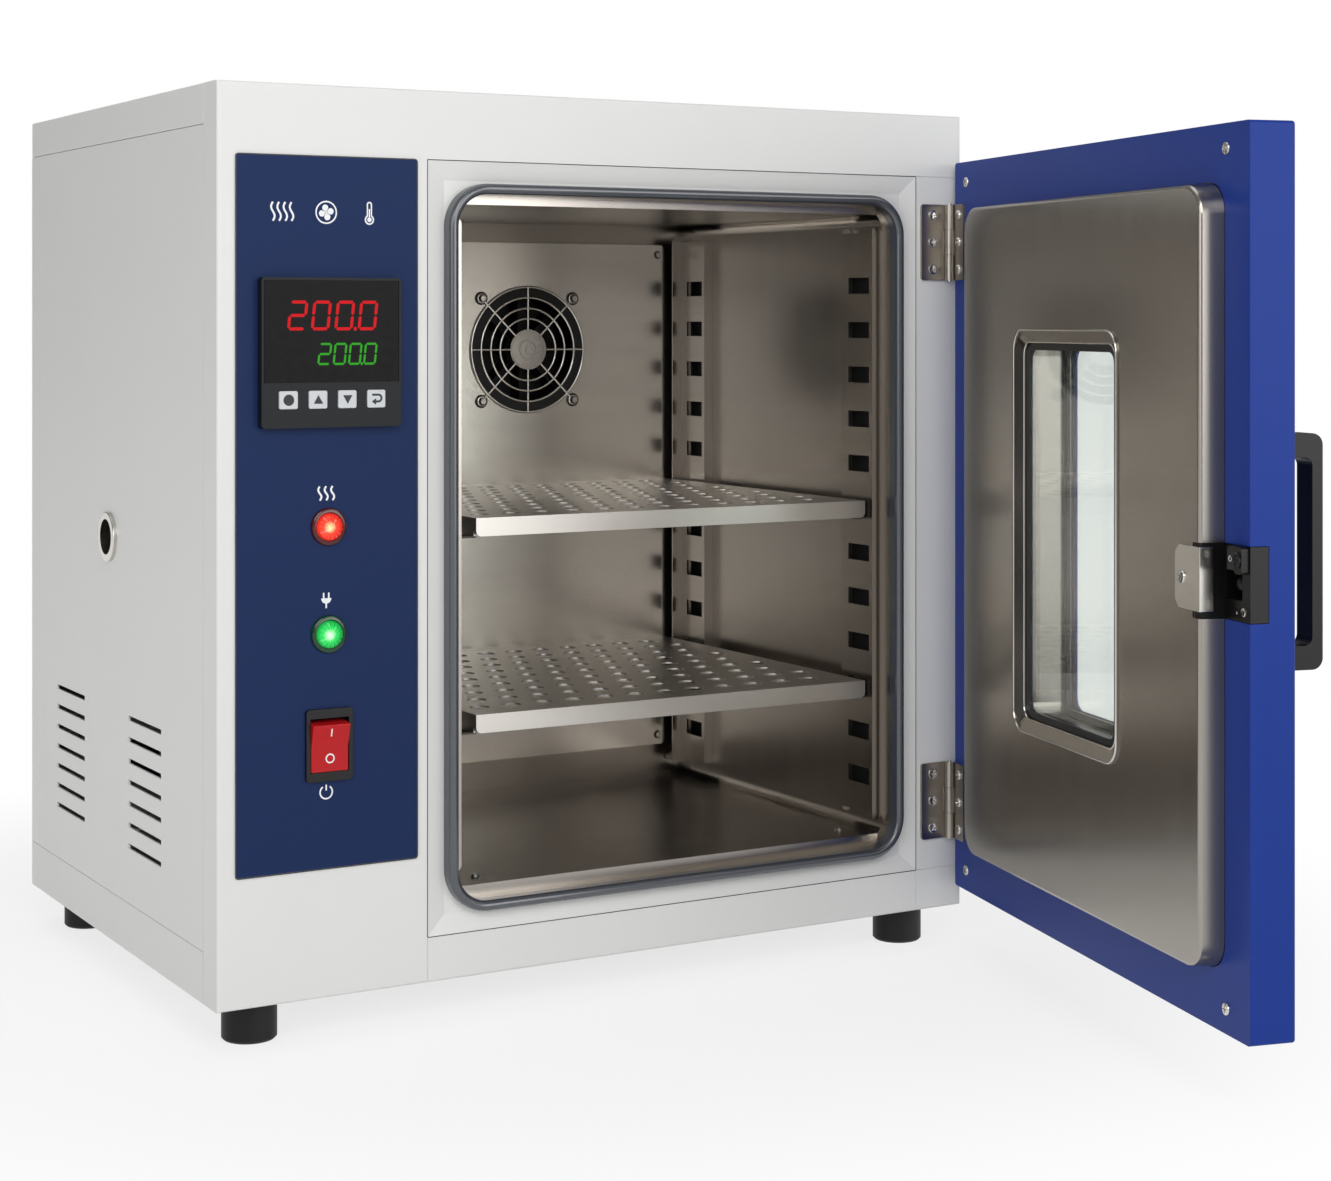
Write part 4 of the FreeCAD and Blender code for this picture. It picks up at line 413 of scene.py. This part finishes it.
def fitted(name, shape, place, finish, body, instead=(), smooth=35):
    """Makes a shape a piece of the model: in its frame, with its finish, on the body that carries it."""
    bmesh.ops.transform(shape, matrix=place, verts=shape.verts)
    mesh = bpy.data.meshes.new(name)
    shape.to_mesh(mesh)
    shape.free()
    mesh.materials.append(finish)
    for face in mesh.polygons:
        face.use_smooth = True
    mesh.set_sharp_from_angle(angle=math.radians(smooth))
    made = bpy.data.objects.new(name, mesh)
    bpy.context.scene.collection.objects.link(made)
    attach(made, body)
    if instead:
        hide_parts(*instead)
    return made


def copied(node, frame_matrix):
    """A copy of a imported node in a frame's millimetres, with its doubles merged and its flats joined."""
    shape = bmesh.new()
    shape.from_mesh(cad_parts[node].data)
    bmesh.ops.transform(shape, matrix=frame_matrix.inverted(), verts=shape.verts)
    bmesh.ops.remove_doubles(shape, verts=shape.verts, dist=0.002)
    bmesh.ops.dissolve_limit(shape, angle_limit=math.radians(0.5), verts=shape.verts, edges=shape.edges)
    return shape


def loose_parts(node, frame_matrix):
    """Lowest and highest corners, in a frame's millimetres, of each separate solid of a node, in the order of
    its vertices, so that they come out the same each run."""
    shape = copied(node, frame_matrix)
    found = set()
    corners = []
    for first in shape.verts:
        if first in found:
            continue
        found.add(first)
        solid = [first]
        for vertex in solid:
            for edge in vertex.link_edges:
                other = edge.other_vert(vertex)
                if other not in found:
                    found.add(other)
                    solid.append(other)
        corners.append([Vector([side(v.co[i] for v in solid) for i in range(3)]) for side in (min, max)])
    shape.free()
    return corners


def eased(name, node, frame_matrix, offset, finish, body, segments=3, shortest=0):
    """A node's own shape with its sharp outside corners eased, as folded sheet and moulded plastic have them.
    Edges up to the shortest length keep their corners, and so do curved stretches made of small flats."""
    corner = math.radians(40)
    shape = copied(node, frame_matrix)
    sharp = [e for e in shape.edges if len(e.link_faces) == 2 and e.is_convex
             and e.calc_face_angle() > corner and e.calc_length() > shortest]
    bmesh.ops.bevel(shape, geom=sharp, offset=offset, offset_type="OFFSET", segments=segments, profile=0.5,
                    affect="EDGES", clamp_overlap=True, material=-1)
    made = fitted(name, shape, frame_matrix, finish, body, [node])
    made.modifiers.new("even_flats", "WEIGHTED_NORMAL").keep_sharp = True


# A screw's pan head, and the radius of its shank
SCREW_HEAD = 1.5
SCREW_SHANK = 2.0


def cross_headed(radius, length):
    """A pan-head screw along +Z with a cross recess and its shank below the head."""
    height = SCREW_HEAD
    body = turned([
        (0, -length), (SCREW_SHANK, -length), (SCREW_SHANK, 0), (radius, 0), (radius, height * 0.45),
        (radius * 0.93, height * 0.72), (radius * 0.72, height * 0.92), (radius * 0.4, height),
        (0, height)], 28)
    arm, half = radius * 0.62, radius * 0.13
    cross = cut_plate([
        (half, half), (half, arm), (-half, arm), (-half, half), (-arm, half), (-arm, -half),
        (-half, -half), (-half, -arm), (half, -arm), (half, -half), (arm, -half), (arm, half)], height)
    bmesh.ops.translate(cross, verts=cross.verts, vec=(0, 0, height * 0.35))
    things = []
    for shape in (body, cross):
        mesh = bpy.data.meshes.new("screw")
        shape.to_mesh(mesh)
        shape.free()
        things.append(bpy.data.objects.new("screw", mesh))
        bpy.context.scene.collection.objects.link(things[-1])
    recess = things[0].modifiers.new("recess", "BOOLEAN")
    recess.object, recess.operation, recess.solver = things[1], "DIFFERENCE", "EXACT"
    ready = things[0].evaluated_get(bpy.context.evaluated_depsgraph_get())
    cut = bpy.data.meshes.new_from_object(ready)
    screw = bmesh.new()
    screw.from_mesh(cut)
    for mesh in [cut] + [thing.data for thing in things]:
        bpy.data.meshes.remove(mesh)
    return screw


def screws(name, node, frame_matrix, body):
    """Cross-headed screws in the places of a node's own, each turned differently, as hands leave them."""
    shapes = []
    for i, (low, high) in enumerate(loose_parts(node, frame_matrix)):
        radius = min(high.x - low.x, high.z - low.z) / 2
        screw = cross_headed(radius, high.y - low.y - SCREW_HEAD)
        spot = (low + high) / 2
        spot.y = low.y + SCREW_HEAD
        shapes.append((screw, at(*spot, TO_FRONT @ Matrix.Rotation(0.6 + 1.1 * i, 4, "Z"))))
    fitted(name, gathered(shapes), frame_matrix, SCREW_STEEL, body, [node])


def touched(node, frame_matrix, across, up):
    """Where a straight line from the camera's side first meets a node, and how the surface faces there."""
    start = Vector((across, -60, up))
    shape = copied(node, frame_matrix)
    spot, facing, _, _ = BVHTree.FromBMesh(shape).ray_cast(start, Vector((0, 1, 0)))
    shape.free()
    return spot, facing


# Control panel: printed pictograms, display, keys, lamps and switch


def waves(count, pitch, height, swing, width):
    """Rising wavy lines, the common sign for heat."""
    steps = 20
    wave = [(swing * math.sin(math.tau * i / steps), height * (i / steps - 0.5)) for i in range(steps + 1)]
    return [(stroke(wave, width), at((k - (count - 1) / 2) * pitch, 0, 0)) for k in range(count)]


def ring_sign(radius, width):
    """A closed ring."""
    return stroke(arc((0, 0), radius, 0, 360)[:-1], width, closed=True)


def fan_sign(radius):
    """Four blades about a hub inside a ring."""
    tip = arc((radius * 0.42, radius * 0.1), radius * 0.3, -80, 130, 10)
    root = arc((radius * 0.2, 0), radius * 0.12, 150, 260, 4)
    blades = [(cut_plate(tip + root), Matrix.Rotation(math.tau * k / 4, 4, "Z")) for k in range(4)]
    return [(ring_sign(radius, radius * 0.14), AS_MADE), *blades, (disc(radius * 0.15, 16), AS_MADE)]


def thermometer_sign(height):
    """A bulb and a stem with its mercury."""
    bulb, stem = height * 0.2, height * 0.1
    outline = arc((0, -height / 2 + bulb), bulb, -240, 60) + arc((0, height / 2 - stem), stem, 0, 180, 10)
    return [
        (stroke(outline, height * 0.07, closed=True), AS_MADE),
        (disc(bulb * 0.55, 20), at(0, -height / 2 + bulb, 0)),
        (stroke([(0, -height / 2 + bulb), (0, height * 0.2)], height * 0.07), AS_MADE),
    ]


def plug_sign(size):
    """A mains plug with two pins and its lead."""
    radius, face = size * 0.32, size * 0.1
    head = [(-radius, face), (radius, face)] + arc((0, face), radius, 0, -180, 12)[1:-1]
    pins_and_lead = [
        [(-size * 0.16, size * 0.08), (-size * 0.16, size * 0.42)],
        [(size * 0.16, size * 0.08), (size * 0.16, size * 0.42)],
        [(0, -size * 0.2), (0, -size * 0.48)],
    ]
    lines = [(stroke(line, size * 0.1), AS_MADE) for line in pins_and_lead]
    return [(cut_plate(head[::-1]), AS_MADE), *lines]


def standby_sign(radius):
    """An open ring with a bar in its gap."""
    return [
        (stroke(arc((0, 0), radius, 125, 415), radius * 0.24), AS_MADE),
        (stroke([(0, radius * 0.25), (0, radius * 1.15)], radius * 0.24), AS_MADE),
    ]


# Each sign with its place across and up the panel: a row at the top, and one over each lamp and the switch
panel_face = reach("control_panel")[0].y - INK_LIFT
signs = [
    (waves(4, pitch=4.2, height=12, swing=1.2, width=1.3), LAMPS_ACROSS - 30, 505),
    (fan_sign(radius=7), LAMPS_ACROSS, 505),
    (thermometer_sign(height=14), LAMPS_ACROSS + 30, 505),
    (waves(3, pitch=4.4, height=9, swing=1.1, width=1.3), LAMPS_ACROSS, 324.5),
    (plug_sign(size=11), LAMPS_ACROSS, 256),
    (standby_sign(radius=4.2), LAMPS_ACROSS, 132.5),
]
printed = gathered([(gathered(sign), at(x, panel_face, z, TO_FRONT)) for sign, x, z in signs])
fitted("panel_pictograms", printed, CABINET, WHITE_INK, "cabinet")

# Thin dark lines round the panel and the door surround: painted shade in the joints between the parts
for name, node, width, corner in (
        ("panel_joint_painted_shade", "control_panel", 0.9, 2.0), ("surround_joint_painted_shade", "door_surround", 0.6, 1.0)):
    low, high = reach(node)
    line = stroke(round_cornered((low.x, low.z), (high.x, high.z), corner), width, closed=True)
    fitted(name, line, CABINET @ at(0, min(low.y, 0) - LINE_LIFT, 0, TO_FRONT), BLACK_SEAL_AND_JOINT_SHADE, "cabinet")

# The bars that are lit in each digit
LIT = {"2": "abged", "0": "abcdef"}


def lit_digit(digit, width, height, bar):
    """One digit of seven bars with mitred ends, leaning a little to the right."""
    w, h, s = width - bar, (height - bar) / 2, bar / 2
    gap = bar * 0.12
    across = [(gap, 0), (s + gap, s), (w - s - gap, s), (w - gap, 0), (w - s - gap, -s), (s + gap, -s)]
    upright = [(0, gap), (s, s + gap), (s, h - s - gap), (0, h - gap), (-s, h - s - gap), (-s, s + gap)]
    places = {
        "a": (across, 0, 2 * h), "g": (across, 0, h), "d": (across, 0, 0), "f": (upright, 0, h),
        "b": (upright, w, h), "e": (upright, 0, 0), "c": (upright, w, 0)}
    lean = Matrix.Identity(4)
    lean[0][1] = math.tan(math.radians(6))
    shapes = []
    for bar_name in LIT[digit]:
        outline, x, y = places[bar_name]
        shapes.append((cut_plate([(a + x + s, b + y + s) for a, b in outline][::-1]), lean))
    return shapes


def lit_row(text, left, bottom, pitch, width, height, bar):
    """A row of lit digits with a point after the third."""
    shapes = []
    for k, digit in enumerate(text):
        for shape, lean in lit_digit(digit, width, height, bar):
            shapes.append((shape, at(left + k * pitch, bottom, 0) @ lean))
    point_across = left + 2 * pitch + width + (pitch - width) * 0.55
    shapes.append((disc(bar * 0.62, 16), at(point_across, bottom + bar * 0.5, 0)))
    return gathered(shapes)


on_window = CABINET @ at(0, reach("controller_window")[0].y - LINE_LIFT, 0, TO_FRONT)
upper_row = lit_row("2000", left=43.4, bottom=429.2, pitch=16.1, width=12.7, height=19.1, bar=2.0)
lower_row = lit_row("2000", left=64.0, bottom=407, pitch=10.5, width=8.9, height=14.2, bar=1.4)
fitted("red_reading", upper_row, on_window, RED_SEGMENT, "cabinet")
fitted("green_reading", lower_row, on_window, GREEN_SEGMENT, "cabinet")


def on_key(name):
    """The middle of a key's face."""
    low, high = reach(name)
    return CABINET @ at((low.x + high.x) / 2, low.y - INK_LIFT, (low.z + high.z) / 2, TO_FRONT)


# The circle, the two arrowheads and the bent arrow on the keys
return_bend = [(-3.2, 2.6), (1.2, 2.6)] + arc((1.2, 0.4), 2.2, 90, -90, 12) + [(-0.8, -1.8)]
return_head = [(-3.4, -1.8), (-0.4, 0.4), (-0.4, -4.0)]
KEY_SIGNS = {
    "circle_key": [turned([(0, 0), (3.6, 0), (3.6, PRINT), (1.9, PRINT), (1.9, 0.02), (0, 0.02)], 28)],
    "up_key": [cut_plate([(-3.2, -2.6), (3.2, -2.6), (0, 3.0)])],
    "down_key": [cut_plate([(-3.2, 2.6), (0, -3.0), (3.2, 2.6)])],
    "return_key": [stroke(return_bend, 1.4), cut_plate(return_head, 0.12)],
}
for name, drawn in KEY_SIGNS.items():
    eased(f"{name}_cap", name, CABINET, 0.5, KEY_PLASTIC, name)
    fitted(f"{name}_sign", gathered([(shape, AS_MADE) for shape in drawn]), on_key(name),
           BLACK_INK, name)
fitted("circle_key_dot", disc(1.25, 20, 0.12), on_key("circle_key"), BLACK_INK, "circle_key")

# Each lamp: a dark acrylic ring in its lens's colour, and a domed lens with radial facets
lamp_low, lamp_high = reach("lamp_bodies")
lens_front = reach("heater_lamp_lens")[0].y
lamp_middle = (lamp_low.x + lamp_high.x) / 2


def lamp_ring():
    """A rounded ring that stands on the panel, with its barrel through it."""
    face, back = -lamp_low.y, -lamp_high.y
    return turned([
        (8, back), (8, -1.2), (12.2, 1.0), (12.2, face * 0.6), (11.7, face * 0.88), (10.9, face), (9.4, face),
        (9.0, face * 0.7), (9.0, 0.5), (6.0, 0.0), (6.0, back), (8, back)], 48)


def lamp_dome():
    """A lens whose dome has a raised centre and radial facets."""
    facets = 32
    proud = -lens_front
    lens = turned([
        (0, 0.6), (8.9, 0.6), (8.9, proud * 0.5), (8.1, proud * 0.72), (5.4, proud * 0.93), (2.2, proud),
        (0, proud)], facets)
    for vertex in lens.verts:
        out_from_middle = vertex.co.xy.length
        if vertex.co.z > proud * 0.6 and out_from_middle > 1:
            ridge = round(math.atan2(vertex.co.y, vertex.co.x) / math.tau * facets) % 2
            vertex.co.z += (0.45 if ridge else -0.45) * min(out_from_middle / 8, 1)
    return lens


for name, up, ring_finish, lens_finish, slot in (
        ("heater_lamp", HEATER_LAMP_UP, RED_RING, HEATER_LENS, "red_lens"),
        ("mains_lamp", MAINS_LAMP_UP, GREEN_RING, MAINS_LENS, "green_lens")):
    place = CABINET @ at(lamp_middle, 0, up, TO_FRONT)
    fitted(f"{name}_ring", lamp_ring(), place, ring_finish, "cabinet", ["lamp_bodies"])
    fitted(f"{name}_dome", lamp_dome(), place, lens_finish, "cabinet", [f"{name}_lens"], smooth=12)

eased("power_rocker_paddle", "power_rocker", CABINET, 0.8, ROCKER, "power_rocker")
eased("power_switch_bezel", "switch_body", CABINET, 0.7, BLACK_PLASTIC, "cabinet")

# The rocker's middle, and how far above and below it the signs are
ROCKER_ACROSS, ROCKER_UP = 74.5, 163
ROCKER_SIGN = 8.5
for name, up, sign in (("rocker_on_bar", ROCKER_UP + ROCKER_SIGN, stroke([(0, -2.6), (0, 2.6)], 0.9)),
                       ("rocker_off_ring", ROCKER_UP - ROCKER_SIGN, ring_sign(2.7, 0.9))):
    spot, facing = touched("power_rocker", CABINET, ROCKER_ACROSS, up)
    lie = facing.to_track_quat("Z", "Y").to_matrix().to_4x4()
    fitted(name, sign, CABINET @ at(*(spot + facing * LINE_LIFT), lie), WHITE_INK, "power_rocker")

# Folded sheet and moulded cases with their edges eased
eased("front_fascia_skin", "front_fascia", CABINET, 0.6, CABINET_ENAMEL, "cabinet")
eased("top_cover_skin", "top_cover", CABINET, 0.6, CABINET_ENAMEL, "cabinet")
eased("door_shell_skin", "door_outer_shell", DOOR, 1.0, DOOR_ENAMEL, "door")
eased("controller_bezel", "controller_case", CABINET, 0.6, CASE_PLASTIC, "cabinet")
eased("door_handle_grip", "door_handle", DOOR, 1.2, BLACK_PLASTIC, "door", segments=4)
eased("latch_case", "latch_body", DOOR, 0.9, BLACK_PLASTIC, "door")
eased("latch_strike", "latch_plate", DOOR, 0.4, BRIGHT_STEEL, "door")

for name in ("upper_hinge_frame_leaf", "lower_hinge_frame_leaf"):
    eased(f"{name}_eased", name, CABINET, 0.4, HINGE_STEEL, "cabinet", shortest=1.0)
for name in ("upper_hinge_door_leaf", "lower_hinge_door_leaf"):
    eased(f"{name}_eased", name, DOOR, 0.4, HINGE_STEEL, "door", shortest=1.0)
for name in ("upper_shelf", "lower_shelf"):
    eased(f"{name}_tray", name, CABINET, 0.45, SHELF_STEEL, name, shortest=60)

# Fixings with cross recesses
screws("hinge_screws_on_cabinet", "frame_hinge_screws", CABINET, "cabinet")
screws("door_side_screws", "door_screws", DOOR, "door")

# Fan guard: a stamped hub disc with its raised rings
fan_low, fan_high = reach("fan_guard")
fan_across, fan_up = (fan_low.x + fan_high.x) / 2, (fan_low.z + fan_high.z) / 2
hub = turned([
    (0, -2.2), (15.5, -2.2), (15.8, -0.6), (15.0, 0.4), (13.6, 0.4), (12.9, -0.9), (8.6, -0.9), (8.0, 0.6),
    (6.4, 0.6), (5.8, -1.1), (3.4, -1.1), (2.9, 0.9), (0, 0.9)], 48)
fitted("fan_guard_hub", hub, CABINET @ at(fan_across, fan_low.y, fan_up, TO_FRONT), BRIGHT_STEEL, "cabinet")

# A black ring behind the guard is painted shade for the dark opening round the fan, and dark washers sit under
# its four screws
GUARD_SCREW = 41.25
baffle_low, baffle_high = reach("rear_baffle_plate")
opening_shade = turned([(41.5, -0.2), (49.6, -0.2), (50.2, 0.0), (49.8, 0.4), (41.5, 0.4), (41.5, -0.2)], 64)
fitted("fan_opening_painted_shade", opening_shade, CABINET @ at(fan_across, baffle_low.y - 0.25, fan_up, TO_FRONT), BLACK_FAN_AND_SHADE,
       "cabinet")
washers = [
    (turned([(2.6, 0), (5.4, 0), (5.4, 0.7), (4.9, 1.1), (2.9, 1.1), (2.6, 0.7), (2.6, 0)], 28),
     at(fan_across + x * GUARD_SCREW, baffle_low.y - 0.1, fan_up + z * GUARD_SCREW, TO_FRONT))
    for x in (-1, 1) for z in (-1, 1)
]
fitted("grille_screw_washers", gathered(washers), CABINET, DARK_STEEL, "cabinet")

# The chamber's side walls, across the cabinet, and the thickness of the strips at them
WALL_LEFT, WALL_RIGHT = 169, 519
STRIP = 0.3

# Black sheets in the channels behind the rails' slots: a painted shadow, so that the slots read dark. A
# strip's own X runs into the chamber's depth, its Y up, and its thickness inwards from the wall
FRONT_CHANNEL, REAR_CHANNEL = (18, 54), (258, 290)
SLOT_SHADOW_LOW, SLOT_SHADOW_HIGH = 72, 500
strips = []
for wall, inwards in ((WALL_LEFT, 1), (WALL_RIGHT, -1)):
    along_wall = Matrix(((0, 0, inwards, 0), (1, 0, 0, 0), (0, 1, 0, 0), (0, 0, 0, 1)))
    for front, back in (FRONT_CHANNEL, REAR_CHANNEL):
        strip = cut_plate(rectangle(front, SLOT_SHADOW_LOW, back, SLOT_SHADOW_HIGH), STRIP)
        strips.append((strip, at(wall + inwards * STRIP / 2, 0, 0, along_wall)))
slot_shadow_sheets = gathered(strips)
bmesh.ops.recalc_face_normals(slot_shadow_sheets, faces=slot_shadow_sheets.faces)
fitted("rail_slot_painted_shadow", slot_shadow_sheets, CABINET, BLACK_FAN_AND_SHADE, "cabinet")

# Returns that close the rear rails' front edges, short of their ends, and strips in the gaps beside the baffle
RETURN_WIDE, RETURN_DEPTH = 8, 256.2
RAIL_END = 4
BAFFLE_GAP, BEHIND_BAFFLE = 1.2, 1.5
rail_low, rail_high = reach("right_shelf_rails")
closers = []
for left, right in (
        (WALL_LEFT + 0.1, WALL_LEFT + RETURN_WIDE), (WALL_RIGHT - RETURN_WIDE, WALL_RIGHT - 0.1)):
    closers.append((cut_plate(rectangle(left, rail_low.z + RAIL_END, right, rail_high.z - RAIL_END), STRIP),
                    at(0, RETURN_DEPTH, 0, TO_FRONT)))
for left, right in (
        (WALL_LEFT + 0.2, baffle_low.x - BAFFLE_GAP), (baffle_high.x + BAFFLE_GAP, WALL_RIGHT - 0.2)):
    closers.append((cut_plate(rectangle(left, baffle_low.z, right, baffle_high.z), STRIP),
                    at(0, baffle_low.y + BEHIND_BAFFLE, 0, TO_FRONT)))
fitted("channel_returns", gathered(closers), CABINET, STEEL_UP, "cabinet")

# Bright beads round the door's window: one at the frame's rim and one at its glass
WINDOW_LOW, WINDOW_HIGH, WINDOW_CORNER = (141, 155.7), (294.5, 429.5), 14
ON_STRAIGHT_SIDE = 290
for name, inset, width in (("window_rim_bead", 0.4, 1.5), ("window_inner_bead", 8.6, 1.3)):
    low, high = [edge + inset for edge in WINDOW_LOW], [edge - inset for edge in WINDOW_HIGH]
    face = touched("window_frame", DOOR, low[0] + 0.2, ON_STRAIGHT_SIDE)[0].y
    bead = stroke(round_cornered(low, high, WINDOW_CORNER - inset * 0.55), width, width, closed=True)
    fitted(name, bead, DOOR @ at(0, face, 0, TO_FRONT), BRIGHT_STEEL, "door")

# Latch: the boss and the small fixings on its case
latch_fixings = [
    ("latch_boss", (422.5, 297), BLACK_PLASTIC, "black_plastic",
     [(0, -1), (4.6, -1), (4.6, 0.6), (4.2, 1.1), (3.4, 1.1), (3.1, 0.5), (1.2, 0.5), (1.0, 0.1), (0, 0.1)]),
    ("latch_hole_rim", (414.8, 297.5), SCREW_STEEL, "screw_steel",
     [(1.1, -0.6), (1.9, -0.6), (1.9, 0.15), (1.6, 0.3), (1.3, 0.3), (1.1, 0.1), (1.1, -0.6)]),
    ("latch_socket_screw", (421.5, 266.6), SCREW_STEEL, "screw_steel",
     [(0, -1), (2.6, -1), (2.6, 0.4), (2.2, 0.7), (1.3, 0.7), (1.2, -0.4), (0, -0.4)]),
    ("latch_small_pin", (413.5, 265.6), SCREW_STEEL, "screw_steel",
     [(0, -0.5), (0.9, -0.5), (0.9, 0.2), (0.6, 0.45), (0, 0.5)]),
]
for name, (across, up), finish, slot, profile in latch_fixings:
    face = touched("latch_body", DOOR, across, up)[0].y
    fitted(name, turned(profile, 28), DOOR @ at(across, face, up, TO_FRONT), finish, "door")

# Studio


def flat_sheet(name, corners, material):
    """A flat floor that isn't part of the oven."""
    mesh = bpy.data.meshes.new(name)
    sheet = bmesh.new()
    sheet.faces.new([sheet.verts.new(c) for c in corners])
    sheet.to_mesh(mesh)
    sheet.free()
    thing = bpy.data.objects.new(name, mesh)
    bpy.context.scene.collection.objects.link(thing)
    mesh.materials.append(material)


def pale_floor():
    """A white floor that keeps the object's shadow near it and turns to plain white further out."""
    material, tree, out = blank("white_studio_floor")
    rays = add(tree, "LightPath")
    seen = add(tree, "Math", {0: rays.outputs["Is Camera Ray"], 1: rays.outputs["Is Glossy Ray"]},
               operation="ADD")
    through = add(tree, "Math", {0: seen.outputs[0], 1: rays.outputs["Is Transmission Ray"]},
                  operation="ADD", use_clamp=True)
    place = add(tree, "TexCoord")
    away = add(tree, "VectorMath", {0: place.outputs["Object"]}, operation="LENGTH")
    fade = add(tree, "MapRange", {
        "Value": away.outputs["Value"], "From Min": 0.4, "From Max": 0.8, "To Min": 0.74, "To Max": 1.0},
               interpolation_type="SMOOTHSTEP")
    share = add(tree, "Math", {0: through.outputs[0], 1: fade.outputs[0]}, operation="MULTIPLY")
    paint = add(tree, "BsdfDiffuse", {"Color": linear("#FAFAFA")})
    shine = add(tree, "Emission", {"Color": linear("#FFFFFF"), "Strength": 1.0})
    mix = add(tree, "MixShader", {"Fac": share.outputs[0], 1: paint.outputs[0], 2: shine.outputs[0]})
    tree.links.new(mix.outputs[0], out.inputs["Surface"])
    return material


flat_sheet("studio_floor", [(-9, -9, 0), (9, -9, 0), (9, 9, 0), (-9, 9, 0)], pale_floor())

# The room: white where the camera sees it, a soft even light on the oven, and for reflections dim but for one
# bright wall in front of the oven and to its right
world = bpy.data.worlds.new("studio")
world.use_nodes = True
bpy.context.scene.world = world
sky = world.node_tree
sky.nodes.clear()
rays = add(sky, "LightPath")
seen = add(sky, "Math", {0: rays.outputs["Is Camera Ray"], 1: rays.outputs["Is Transmission Ray"]},
           operation="ADD", use_clamp=True)
way = add(sky, "TexCoord")
towards_wall = add(sky, "VectorMath", {0: way.outputs["Generated"], 1: (0.6, -0.8, 0.0)},
                   operation="DOT_PRODUCT")
wall_light = add(sky, "MapRange", {
    "Value": towards_wall.outputs["Value"], "From Min": 0.72, "From Max": 0.95, "To Min": 0.3, "To Max": 2.9},
                 interpolation_type="SMOOTHSTEP")
glossy = add(sky, "Background", {"Color": linear("#FFFFFF"), "Strength": wall_light.outputs[0]})
soft = add(sky, "Background", {"Color": linear("#FFFFFF"), "Strength": 0.31})
white = add(sky, "Background", {"Color": linear("#FFFFFF"), "Strength": 1.0})
mirrored = add(sky, "MixShader", {
    "Fac": rays.outputs["Is Glossy Ray"], 1: soft.outputs[0], 2: glossy.outputs[0]})
backdrop = add(sky, "MixShader", {"Fac": seen.outputs[0], 1: mirrored.outputs[0], 2: white.outputs[0]})
add(sky, "OutputWorld", {"Surface": backdrop.outputs[0]})


def softbox(name, place, aim, size, power):
    """A large soft lamp."""
    lamp = bpy.data.lights.new(name, "AREA")
    lamp.shape = "RECTANGLE"
    lamp.size, lamp.size_y = size
    lamp.energy = power
    thing = bpy.data.objects.new(name, lamp)
    bpy.context.scene.collection.objects.link(thing)
    thing.location = place
    thing.rotation_euler = (Vector(aim) - Vector(place)).to_track_quat("-Z", "Y").to_euler()


softbox("key_light", (-1.0, -3.0, 1.9), (0.05, 0, 0.3), (1.8, 1.8), 42)
softbox("low_front_light", (1.1, -3.2, 0.7), (0, 0, 0.3), (1.6, 1.2), 10)
softbox("side_light", (-2.6, -1.9, 1.2), (0, 0, 0.3), (1.6, 1.6), 21)
softbox("top_light", (0, 0.2, 3.0), (0, 0, 0.3), (2.2, 2.2), 18)

# The photograph's camera: level, turned 30 degrees, with its lens shifted down
camera = bpy.data.cameras.new("camera")
camera.sensor_fit = "HORIZONTAL"
camera.sensor_width = 36
camera.lens = 66.91
camera.shift_y = -0.2054
camera.clip_end = 50
eye = bpy.data.objects.new("camera", camera)
bpy.context.scene.collection.objects.link(eye)
eye.location = (-0.8263, -1.6921, 0.4657)
eye.rotation_euler = (math.radians(90), 0, math.radians(-30.13))
bpy.context.scene.camera = eye
bpy.context.scene.view_settings.view_transform = "Standard"
